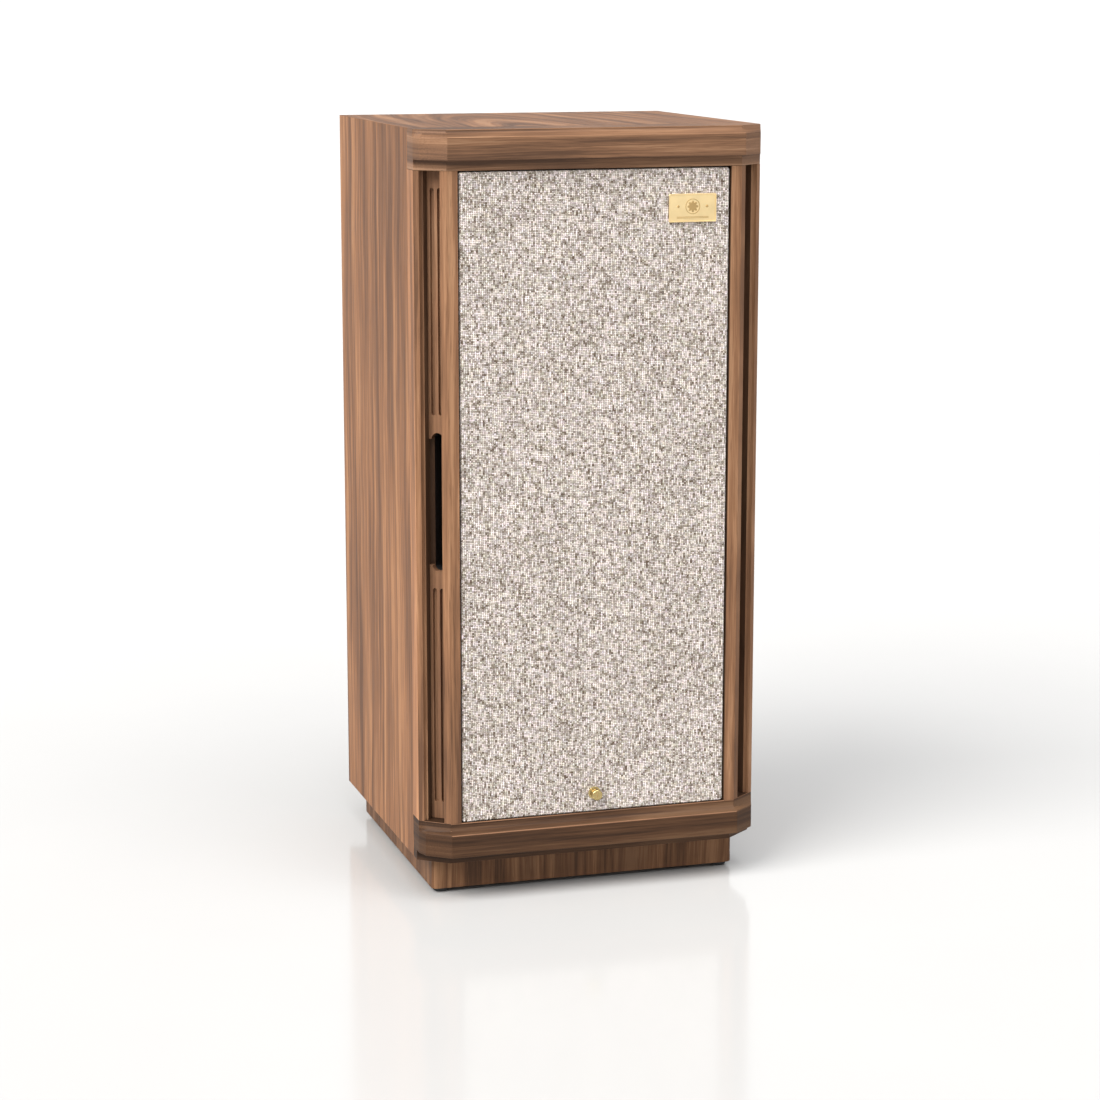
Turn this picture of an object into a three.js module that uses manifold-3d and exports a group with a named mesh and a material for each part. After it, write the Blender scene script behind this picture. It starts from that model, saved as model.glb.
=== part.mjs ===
// Floor-standing loudspeaker cabinet: a walnut carcass with chamfered corner posts that hold sliding port slats,
// a lockable lift-off cloth grille, one dual-concentric drive unit, two treble controls and rear binding posts.
// Millimetres, +Z up, the front faces -Y. The origin is the middle of the whole object's footprint, on the floor.
import * as THREE from 'three';
import { mergeVertices } from 'three/addons/utils/BufferGeometryUtils.js';
import Module from 'manifold-3d';

const wasm = await Module();
wasm.setup();

// ---- driving dimensions ----
const HEIGHT = 850;
const WIDTH = 393.5;
const BODY_DEPTH = 370.5; // from the posts' front faces to the back
const KNOB_PROUD = 11; // how far the lock knob stands in front of the posts
const PANEL = 19; // carcass board thickness
const BACK_PANEL = 18;
const GAP = 0.3; // between fitted pieces
const GRID = 0.001;
const FOOT_HEIGHT = 5;
const FOOT_RADIUS = 9.2;
const CARCASS_BASE = 42.2;
const SIDE = WIDTH / 2;
const INNER = SIDE - PANEL;

// front frame: corner posts between a bottom and a top moulding
const FRAME_DEPTH = 50.3; // posts' front faces to the seam with the side panels
const CHAMFER_WIDTH = 30.4;
const CHAMFER_DEPTH = 24.4;
const POSTS_BASE = 90.6;
const POSTS_TOP = 806.5;
const RECESS_SIDE = 154.4; // half width of the grille's recess
const RECESS_DEPTH = 26;
const POST_REAR_SIDE = 140; // half distance between the posts behind the recess
const FASCIA_PROUD = 8.35;
const FASCIA_CHAMFER_PROUD = 7.3;
const FASCIA_RUN = 27.1; // along the chamfer, from its front corner to where the fascia dies away
const TOP_FASCIA = { low: 817.7, high: 842.2, shoulder: 846 };
const BOTTOM_FASCIA = { low: 53, high: 79.1, shoulder: 82.3 };
const TOE_SETBACK = -9.5; // the strip under the bottom fascia lies behind the posts' face
const TOE_CHAMFER_SETBACK = -8.3;

// plinth under the carcass
const PLINTH_SIDE = SIDE - 18.4;
const PLINTH_FRONT = 37.2;
const PLINTH_BACK = BODY_DEPTH - 12.4;
const PLINTH_BOARD = 18;
const PLINTH_ROUND = 6;
const FOOT_FROM_CORNER = 12.5;

// ports: a stepped channel in each chamfer, two fluted slats in it, and a tunnel into the cabinet
const CHANNEL_CENTRE = 18.75; // along the chamfer, from its side edge
const MOUTH_HALF = 12.25;
const MOUTH_DEPTH = 5.8;
const CHANNEL_HALF = 9.85;
const SLAT_DEPTH = 16; // chamfer face to slat face
const SLAT_THICKNESS = 8;
const SLAT_HALF = 11.4;
const GROOVE_HALF = 11.6;
const PORT_HALF = 6.7;
const PORT_HEIGHT = 153;
const PORT_Z = 447.2;
const FLUTE_HALF = 2.35;
const FLUTE_OFFSET = 4.3;
const FLUTE_DEPTH = 4;
const SLAT_BAR = 18.9; // solid wood beyond the flutes' ends

// grille
const GRILLE_SIDE = 152.6;
const GRILLE_BASE = 91;
const GRILLE_TOP = 805.1;
const CLOTH_FRONT = 1;
const CLOTH_THICKNESS = 1.2;
const CLOTH_ROUND = 3;
const GRILLE_BACK = 18.5;
const SIDE_RAIL = 30;
const TOP_RAIL = 56;
const BOTTOM_RAIL = 60;
const BAR_BASE = 400;
const BAR_HEIGHT = 20;
const BADGE = { left: 82.5, right: 137, base: 746.6, top: 777.4, front: -1, back: 0.7 };

// grille lock
const LOCK_Z = 112.5;
const LOCK_KNOB_RADIUS = 6;
const LOCK_SHAFT_RADIUS = 3;
const LOCK_BORE_RADIUS = 3.1;
const LOCK_BUSH_RADIUS = 5;
const LOCK_FLANGE_RADIUS = 7.2;
const CAM_HALF_LENGTH = 10;
const CAM_HALF_WIDTH = 2.5;
const CAM_THICKNESS = 3;
const KEEPER_THICKNESS = 1.5;
const LOCK_POCKET_RADIUS = 13;
const LOCK_POCKET_DEPTH = 8;

// drive unit
const BAFFLE_THICKNESS = 22;
const DRIVER_Z = 585;
const DRIVER_HOLE_RADIUS = 118.5;
const FLANGE_RADIUS = 129;
const FLANGE_THICKNESS = 5;
const CONE_RADIUS = 92.5;
const COIL_RADIUS = 26.6;
const POLE_RADIUS = 24.6;
const MAGNET_RADIUS = 78;
const DISC_SIDES = 36; // sides of the drive unit's round parts

// treble controls
const CONTROL_Z = 345;
const CONTROL_KNOB_OFFSET = 36;
const CONTROL_KNOB_RADIUS = 11;

// rear terminals
const TERMINAL_Z = 160;
const WELL_HALF_WIDTH = 65;
const WELL_HALF_HEIGHT = 39;
const TERMINAL_PLATE = 3;
const POST_SPACING_X = 56;
const POST_SPACING_Z = 36;

// ---- frame of reference ----
const FRONT = -(BODY_DEPTH - KNOB_PROUD) / 2;
const BACK = FRONT + BODY_DEPTH;
const at = (depth) => FRONT + depth; // a distance behind the posts' front faces, as a Y place

// ---- shape helpers ----
const V2 = (x, y) => new THREE.Vector2(x, y);
const mirrored = (points) => points.map((p) => V2(-p.x, p.y)).reverse();

function signedVolume(geometry) {
  const position = geometry.attributes.position;
  const index = geometry.index;
  const corner = [0, 1, 2].map(() => new THREE.Vector3());
  let volume = 0;
  for (let i = 0; i < index.count; i += 3) {
    corner.forEach((v, k) => v.fromBufferAttribute(position, index.getX(i + k)));
    volume += corner[0].dot(corner[1].clone().cross(corner[2])) / 6;
  }
  return volume;
}

// shares the vertices and turns the faces outwards
function welded(geometry) {
  geometry.deleteAttribute('normal');
  geometry.deleteAttribute('uv');
  const merged = mergeVertices(geometry, 1e-4);
  const kept = [];
  const index = merged.index.array;
  for (let i = 0; i < index.length; i += 3) {
    const [a, b, c] = [index[i], index[i + 1], index[i + 2]];
    if (a !== b && b !== c && c !== a) kept.push(a, b, c);
  }
  merged.setIndex(kept);
  if (signedVolume(merged) < 0) {
    for (let i = 0; i < kept.length; i += 3) [kept[i], kept[i + 1]] = [kept[i + 1], kept[i]];
    merged.setIndex(kept);
  }
  return merged;
}

function solid(geometry) {
  const merged = welded(geometry.clone());
  return new wasm.Manifold(new wasm.Mesh({
    numProp: 3,
    vertProperties: Float32Array.from(merged.attributes.position.array),
    triVerts: Uint32Array.from(merged.index.array),
  }));
}

function geometryOf(manifold) {
  const mesh = manifold.getMesh();
  const geometry = new THREE.BufferGeometry();
  geometry.setAttribute('position', new THREE.BufferAttribute(Float32Array.from(mesh.vertProperties), 3));
  geometry.setIndex(Array.from(mesh.triVerts));
  return geometry;
}

function cut(geometry, ...tools) {
  return geometryOf(tools.reduce((body, tool) => body.subtract(solid(tool)), solid(geometry)));
}

function joined(geometry, ...others) {
  return geometryOf(others.reduce((body, other) => body.add(solid(other)), solid(geometry)));
}

function box(x0, x1, y0, y1, z0, z1) {
  const geometry = new THREE.BoxGeometry(x1 - x0, y1 - y0, z1 - z0);
  return geometry.translate((x0 + x1) / 2, (y0 + y1) / 2, (z0 + z1) / 2);
}

function extruded(outline, depth, holes = []) {
  const shape = new THREE.Shape(outline);
  shape.holes = holes.map((hole) => new THREE.Path(hole));
  return new THREE.ExtrudeGeometry(shape, { depth, bevelEnabled: false });
}

// an outline in X and Y, extruded upwards
const upright = (outline, z0, z1, holes) => extruded(outline, z1 - z0, holes).translate(0, 0, z0);

// an outline in X and Z, extruded from y0 back to y1
const facing = (outline, y0, y1, holes) => extruded(outline, y1 - y0, holes).rotateX(Math.PI / 2).translate(0, y1, 0);

const rectangle = (x0, x1, y0, y1) => [V2(x0, y0), V2(x1, y0), V2(x1, y1), V2(x0, y1)];

function circle(radius, cx = 0, cy = 0, segments = 32) {
  return Array.from({ length: segments }, (_, i) => {
    const a = (2 * Math.PI * i) / segments;
    return V2(cx + radius * Math.cos(a), cy + radius * Math.sin(a));
  });
}

function arc(cx, cy, radius, from, to, segments) {
  return Array.from({ length: segments + 1 }, (_, i) => {
    const a = from + ((to - from) * i) / segments;
    return V2(cx + radius * Math.cos(a), cy + radius * Math.sin(a));
  });
}

function roundedRectangle(x0, x1, y0, y1, r, segments = 4) {
  const q = Math.PI / 2;
  return [
    ...arc(x1 - r, y0 + r, r, -q, 0, segments),
    ...arc(x1 - r, y1 - r, r, 0, q, segments),
    ...arc(x0 + r, y1 - r, r, q, 2 * q, segments),
    ...arc(x0 + r, y0 + r, r, 2 * q, 3 * q, segments),
  ];
}

// a slot with round ends, tall in its second axis
const slot = (half, low, high, cx = 0, segments = 10) => [
  ...arc(cx, high - half, half, 0, Math.PI, segments),
  ...arc(cx, low + half, half, Math.PI, 2 * Math.PI, segments),
];

// a profile of [radius, depth] pairs turned about an axis along Y at height z
function turned(profile, z = 0, x = 0, segments = 48) {
  const points = profile.map(([radius, depth]) => V2(radius, at(depth)));
  return new THREE.LatheGeometry(points, segments).translate(x, 0, z);
}

// the same about a vertical axis
function turnedUpright(profile, x, y, segments = 24) {
  const points = profile.map(([radius, z]) => V2(radius, z));
  return new THREE.LatheGeometry(points, segments).rotateX(Math.PI / 2).translate(x, y, 0);
}

const ring = (inner, outer, y0, y1) => [[inner, y0], [outer, y0], [outer, y1], [inner, y1], [inner, y0]];

// straight-sided body between outlines of the same point count at rising heights
function loft(levels) {
  const count = levels[0].outline.length;
  const position = levels.flatMap(({ z, outline }) => outline.flatMap((p) => [p.x, p.y, z]));
  const cap = THREE.ShapeUtils.triangulateShape(levels[0].outline, []);
  const topBase = (levels.length - 1) * count;
  const index = cap.flatMap(([a, b, c]) => [a, c, b, topBase + a, topBase + b, topBase + c]);
  for (let level = 0; level < levels.length - 1; level += 1) {
    for (let i = 0; i < count; i += 1) {
      const a = level * count + i;
      const b = level * count + ((i + 1) % count);
      index.push(a, b, b + count, a, b + count, a + count);
    }
  }
  const geometry = new THREE.BufferGeometry();
  geometry.setAttribute('position', new THREE.Float32BufferAttribute(position, 3));
  geometry.setIndex(index);
  return geometry;
}

// ---- materials ----
function finish(color, roughness, metalness = 0) {
  return () => new THREE.MeshStandardMaterial({ color, roughness, metalness });
}

const walnut = finish(0xa9805f, 0.5);
const darkWalnut = finish(0x5d4335, 0.5);
const cloth = finish(0xb9aea3, 0.95);
const brass = finish(0xd8b768, 0.25, 1);
const rubber = finish(0x141414, 0.8);
const fibreboard = finish(0x6b5744, 0.8);
const blackPaint = finish(0x17171a, 0.6);
const castMetal = finish(0x2a2c30, 0.5, 0.6);
const paper = finish(0x2b2826, 0.9);
const steel = finish(0x9aa0a6, 0.35, 1);
const ferrite = finish(0x202124, 0.7);
const circuitBoard = finish(0x2f5a3a, 0.6);
const copper = finish(0xb5693c, 0.35, 1);
const wadding = finish(0x8d8f92, 1);
const clearPlastic = finish(0x3a1414, 0.3);

const group = new THREE.Group();

// puts every vertex on a fine grid, so that faces meant to meet lie in one plane
function snapped(geometry) {
  const position = geometry.attributes.position;
  for (let i = 0; i < position.array.length; i += 1) {
    position.array[i] = Math.round(position.array[i] / GRID) * GRID;
  }
  return geometry;
}

function add(name, geometry, material, parent = group) {
  const mesh = new THREE.Mesh(welded(snapped(geometry)), material());
  mesh.name = name;
  parent.add(mesh);
  return mesh;
}

// ---- carcass ----
function addCarcass() {
  const side = [V2(-SIDE, CARCASS_BASE), V2(-INNER, CARCASS_BASE), V2(-INNER, HEIGHT - PANEL), V2(-SIDE, HEIGHT)];
  const top = [V2(-SIDE, HEIGHT), V2(-INNER, HEIGHT - PANEL), V2(INNER, HEIGHT - PANEL), V2(SIDE, HEIGHT)];
  const seam = at(FRAME_DEPTH);
  add('left_side_panel', facing(side, seam, BACK), walnut);
  add('right_side_panel', facing(mirrored(side), seam, BACK), walnut);
  add('top_panel', facing(top, seam, BACK), walnut);
  add('bottom_panel', box(-INNER, INNER, seam, BACK, CARCASS_BASE, CARCASS_BASE + PANEL), walnut);

  const well = roundedRectangle(-WELL_HALF_WIDTH, WELL_HALF_WIDTH, TERMINAL_Z - WELL_HALF_HEIGHT,
    TERMINAL_Z + WELL_HALF_HEIGHT, 8);
  const back = rectangle(-INNER, INNER, CARCASS_BASE + PANEL, HEIGHT - PANEL);
  add('back_panel', facing(back, BACK - BACK_PANEL, BACK, [well]), walnut);

  const brace = rectangle(-INNER, INNER, at(FRAME_DEPTH) + GAP, BACK - BACK_PANEL - GAP);
  const window = roundedRectangle(-130, 130, at(100), at(310), 30);
  for (const [name, z] of [['lower_brace', 300], ['upper_brace', 735]]) {
    add(name, upright(brace, z, z + PANEL - 1, [window]), fibreboard);
  }
}

// ---- front frame ----
// Half of the front frame's outline in plan, from the side round the chamfer to the front, set proud or back.
function frameEdge(frontProud, chamferProud) {
  const length = Math.hypot(CHAMFER_WIDTH, CHAMFER_DEPTH);
  const along = V2(CHAMFER_WIDTH / length, CHAMFER_DEPTH / length);
  const out = V2(along.y, -along.x);
  const corner = V2(SIDE - CHAMFER_WIDTH, 0);
  const cornerShift = (chamferProud + frontProud * out.y) / out.x;
  const end = corner.clone().addScaledVector(along, FASCIA_RUN).addScaledVector(out, chamferProud);
  return [V2(SIDE, CHAMFER_DEPTH), end, V2(corner.x + cornerShift, -frontProud)].map((p) => V2(p.x, at(p.y)));
}

function frameOutline(frontProud, chamferProud) {
  const right = frameEdge(frontProud, chamferProud);
  return [V2(SIDE, at(FRAME_DEPTH)), ...right, ...mirrored(right), V2(-SIDE, at(FRAME_DEPTH))].reverse();
}

// Half outline of a strip whose whole chamfer is set back, in line with the front.
function setBackOutline(frontProud, chamferProud) {
  const slope = CHAMFER_DEPTH / CHAMFER_WIDTH;
  const length = Math.hypot(CHAMFER_WIDTH, CHAMFER_DEPTH);
  const drop = (-chamferProud * length) / CHAMFER_WIDTH;
  const sideY = CHAMFER_DEPTH + drop;
  const cornerX = SIDE - (sideY + frontProud) / slope;
  const right = [V2(SIDE, at(sideY)), V2(cornerX, at(-frontProud))];
  return [V2(SIDE, at(FRAME_DEPTH)), ...right, ...mirrored(right), V2(-SIDE, at(FRAME_DEPTH))].reverse();
}

const fasciaBlock = ({ low, high, shoulder }) => loft([
  { z: low, outline: frameOutline(FASCIA_PROUD, FASCIA_CHAMFER_PROUD) },
  { z: high, outline: frameOutline(FASCIA_PROUD, FASCIA_CHAMFER_PROUD) },
  { z: shoulder, outline: frameOutline(0, 0) },
]);

function addMouldings() {
  const plain = frameOutline(0, 0);
  const toe = setBackOutline(TOE_SETBACK, TOE_CHAMFER_SETBACK);
  add('top_moulding', joined(upright(plain, POSTS_TOP, HEIGHT), fasciaBlock(TOP_FASCIA)), walnut);
  add('bottom_moulding', joined(
    upright(toe, CARCASS_BASE, POSTS_BASE),
    upright(plain, BOTTOM_FASCIA.low, POSTS_BASE),
    fasciaBlock(BOTTOM_FASCIA),
  ), walnut);
}

// ---- corner posts and port slats ----
const CHAMFER_ANGLE = Math.atan2(CHAMFER_DEPTH, CHAMFER_WIDTH);

// the chamfer's own frame: X along it, Y into the wood, at the middle of the channel's mouth
function onChamfer(sideSign) {
  const place = new THREE.Group();
  const x = SIDE - CHANNEL_CENTRE * Math.cos(CHAMFER_ANGLE);
  place.position.set(sideSign * x, at(CHAMFER_DEPTH - CHANNEL_CENTRE * Math.sin(CHAMFER_ANGLE)), 0);
  place.rotation.z = sideSign * CHAMFER_ANGLE;
  group.add(place);
  place.updateMatrix();
  return place;
}

// the stepped channel and the groove that the slats run in, as one outline in the chamfer's frame
function channelOutline() {
  const floor = SLAT_DEPTH + SLAT_THICKNESS + GAP;
  const right = [
    V2(MOUTH_HALF, -2), V2(MOUTH_HALF, MOUTH_DEPTH),
    V2(CHANNEL_HALF, MOUTH_DEPTH), V2(CHANNEL_HALF, SLAT_DEPTH - GAP),
    V2(GROOVE_HALF, SLAT_DEPTH - GAP), V2(GROOVE_HALF, floor),
  ];
  return [...right, ...mirrored(right)];
}

function postOutline() {
  return [
    V2(-SIDE, at(FRAME_DEPTH)), V2(-SIDE, at(CHAMFER_DEPTH)), V2(-SIDE + CHAMFER_WIDTH, at(0)),
    V2(-RECESS_SIDE, at(0)), V2(-RECESS_SIDE, at(RECESS_DEPTH)),
    V2(-POST_REAR_SIDE, at(RECESS_DEPTH)), V2(-POST_REAR_SIDE, at(FRAME_DEPTH)),
  ];
}

function addPostsAndSlats() {
  const slatFloor = SLAT_DEPTH + SLAT_THICKNESS;
  const tunnelEnd = SLAT_DEPTH + 50;
  const portLow = PORT_Z - PORT_HEIGHT / 2;
  const portHigh = PORT_Z + PORT_HEIGHT / 2;
  for (const [side, sign] of [['left', -1], ['right', 1]]) {
    const place = onChamfer(sign);
    const channel = upright(channelOutline(), POSTS_BASE - 5, POSTS_TOP + 5).applyMatrix4(place.matrix);
    const tunnel = extruded(slot(PORT_HALF, portLow, portHigh), tunnelEnd - slatFloor)
      .rotateX(Math.PI / 2).translate(0, tunnelEnd, 0).applyMatrix4(place.matrix);
    const outline = sign < 0 ? postOutline() : mirrored(postOutline());
    add(`${side}_corner_post`, cut(upright(outline, POSTS_BASE, POSTS_TOP), channel, tunnel), walnut);
    add(`${side}_upper_slat`, slat(portHigh, POSTS_TOP - GAP), walnut, place);
    add(`${side}_lower_slat`, slat(portLow, POSTS_BASE + GAP), walnut, place);
  }
}

// A fluted slat between the port's end, where it has a round notch, and the moulding.
function slat(notchZ, endZ) {
  const up = Math.sign(endZ - notchZ);
  const prong = notchZ - up * PORT_HALF;
  const notch = arc(0, prong, PORT_HALF, 0, up * Math.PI, 10);
  const outline = [V2(SLAT_HALF, prong), ...notch, V2(-SLAT_HALF, prong), V2(-SLAT_HALF, endZ), V2(SLAT_HALF, endZ)];
  const y0 = SLAT_DEPTH;
  const board = extruded(outline, SLAT_THICKNESS).rotateX(Math.PI / 2).translate(0, y0 + SLAT_THICKNESS, 0);
  const [low, high] = [notchZ + up * SLAT_BAR, endZ - up * SLAT_BAR].sort((a, b) => a - b);
  const flutes = [-FLUTE_OFFSET, FLUTE_OFFSET].map((x) => extruded(slot(FLUTE_HALF, low, high, x, 6), FLUTE_DEPTH + 2)
    .rotateX(Math.PI / 2).translate(0, y0 + FLUTE_DEPTH, 0));
  return cut(board, ...flutes);
}

// ---- plinth and feet ----
function addPlinth() {
  const q = Math.PI / 4;
  const y0 = at(PLINTH_FRONT);
  const y1 = at(PLINTH_BACK);
  const inner = PLINTH_SIDE - PLINTH_BOARD;
  const cx = PLINTH_SIDE - PLINTH_ROUND;
  const cy = y0 + PLINTH_ROUND;
  const frontArc = arc(cx, cy, PLINTH_ROUND, -2 * q, -q, 3);
  const sideArc = arc(cx, cy, PLINTH_ROUND, -q, 0, 3);
  const frontHalf = [...frontArc, V2(inner, y0 + PLINTH_BOARD)];
  const rightBoard = [...sideArc, V2(PLINTH_SIDE, y1), V2(inner, y1 - PLINTH_BOARD), V2(inner, y0 + PLINTH_BOARD)];
  const backBoard = [V2(-inner, y1 - PLINTH_BOARD), V2(inner, y1 - PLINTH_BOARD), V2(PLINTH_SIDE, y1),
    V2(-PLINTH_SIDE, y1)];
  const boards = {
    plinth_front: [...frontHalf, ...mirrored(frontHalf)],
    plinth_right: rightBoard,
    plinth_left: mirrored(rightBoard),
    plinth_back: backBoard,
  };
  for (const [name, outline] of Object.entries(boards)) {
    add(name, upright(outline, FOOT_HEIGHT, CARCASS_BASE), darkWalnut);
  }

  const rim = 1.2;
  const foot = [[0, 0], [FOOT_RADIUS - rim, 0], [FOOT_RADIUS, rim], [FOOT_RADIUS, FOOT_HEIGHT], [0, FOOT_HEIGHT]];
  const footX = PLINTH_SIDE - FOOT_FROM_CORNER;
  const places = { front: y0 + FOOT_FROM_CORNER, back: y1 - FOOT_FROM_CORNER };
  for (const [end, y] of Object.entries(places)) {
    add(`${end}_left_foot`, turnedUpright(foot, -footX, y), rubber);
    add(`${end}_right_foot`, turnedUpright(foot, footX, y), rubber);
  }
}

// ---- baffle ----
function addBaffle() {
  const panel = rectangle(-POST_REAR_SIDE + GAP, POST_REAR_SIDE - GAP, POSTS_BASE + GAP, POSTS_TOP - GAP);
  const holes = [
    circle(DRIVER_HOLE_RADIUS, 0, DRIVER_Z, 48),
    rectangle(-55, 55, CONTROL_Z - 22, CONTROL_Z + 22),
  ];
  const board = facing(panel, at(RECESS_DEPTH), at(RECESS_DEPTH + BAFFLE_THICKNESS), holes);
  const pocketFloor = at(RECESS_DEPTH + LOCK_POCKET_DEPTH);
  const pocket = facing(circle(LOCK_POCKET_RADIUS, 0, LOCK_Z, 24), at(RECESS_DEPTH - 2), pocketFloor);
  add('baffle', cut(board, pocket), blackPaint);
}

// ---- grille ----
function addGrille() {
  const outline = (by) => roundedRectangle(-GRILLE_SIDE + by, GRILLE_SIDE - by, GRILLE_BASE + by, GRILLE_TOP - by,
    CLOTH_ROUND);
  const bushHole = circle(LOCK_BUSH_RADIUS + GAP, 0, LOCK_Z, 24);
  const clothBack = at(CLOTH_FRONT + CLOTH_THICKNESS);
  add('grille_cloth', facing(outline(0), at(CLOTH_FRONT), clothBack, [bushHole]), cloth);

  const left = -GRILLE_SIDE + SIDE_RAIL;
  const lower = rectangle(left, -left, GRILLE_BASE + BOTTOM_RAIL, BAR_BASE);
  const upper = rectangle(left, -left, BAR_BASE + BAR_HEIGHT, GRILLE_TOP - TOP_RAIL);
  add('grille_frame', facing(outline(CLOTH_THICKNESS), clothBack, at(GRILLE_BACK), [lower, upper, bushHole]),
    blackPaint);

  const bevel = 0.4;
  const plate = new THREE.ExtrudeGeometry(
    new THREE.Shape(rectangle(BADGE.left + bevel, BADGE.right - bevel, BADGE.base + bevel, BADGE.top - bevel)),
    { depth: BADGE.back - BADGE.front - bevel, bevelEnabled: true, bevelThickness: bevel, bevelSize: bevel,
      bevelSegments: 1 },
  );
  const bevelledFront = plate.rotateX(Math.PI / 2).translate(0, at(BADGE.back), 0);
  const behind = box(BADGE.left - 5, BADGE.right + 5, at(BADGE.back), at(BADGE.back + 5), BADGE.base - 5, BADGE.top + 5);
  add('badge_plate', cut(bevelledFront, behind), brass);
}

function addLock() {
  const flangeFront = -0.2;
  const flangeBack = CLOTH_FRONT - GAP;
  const bushBack = GRILLE_BACK;
  add('lock_bush', turned([
    [LOCK_BORE_RADIUS, flangeFront], [LOCK_FLANGE_RADIUS - 0.4, flangeFront], [LOCK_FLANGE_RADIUS, flangeFront + 0.3],
    [LOCK_FLANGE_RADIUS, flangeBack], [LOCK_BUSH_RADIUS, flangeBack], [LOCK_BUSH_RADIUS, bushBack],
    [LOCK_BORE_RADIUS, bushBack], [LOCK_BORE_RADIUS, flangeFront],
  ], LOCK_Z, 0, 24), brass);

  const camFront = RECESS_DEPTH + 1;
  const rim = 0.7;
  add('lock_knob', turned([
    [0, -KNOB_PROUD], [LOCK_KNOB_RADIUS - rim, -KNOB_PROUD], [LOCK_KNOB_RADIUS, -KNOB_PROUD + rim],
    [LOCK_KNOB_RADIUS, flangeFront - 2], [LOCK_KNOB_RADIUS - 1.2, flangeFront - 0.3],
    [LOCK_SHAFT_RADIUS, flangeFront - 0.3], [LOCK_SHAFT_RADIUS, camFront - GAP], [0, camFront - GAP],
  ], LOCK_Z, 0, 24), brass);
  add('lock_cam', box(-CAM_HALF_LENGTH, CAM_HALF_LENGTH, at(camFront), at(camFront + CAM_THICKNESS),
    LOCK_Z - CAM_HALF_WIDTH, LOCK_Z + CAM_HALF_WIDTH), steel);

  const clear = 1;
  const shaftClear = LOCK_SHAFT_RADIUS + clear;
  const keyhole = rectangle(-CAM_HALF_LENGTH - clear, CAM_HALF_LENGTH + clear, LOCK_Z - shaftClear, LOCK_Z + shaftClear);
  const keeper = roundedRectangle(-24, 24, LOCK_Z - 16, LOCK_Z + 16, 4);
  add('lock_keeper', facing(keeper, at(RECESS_DEPTH - KEEPER_THICKNESS), at(RECESS_DEPTH), [keyhole]), steel);
}

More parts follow.
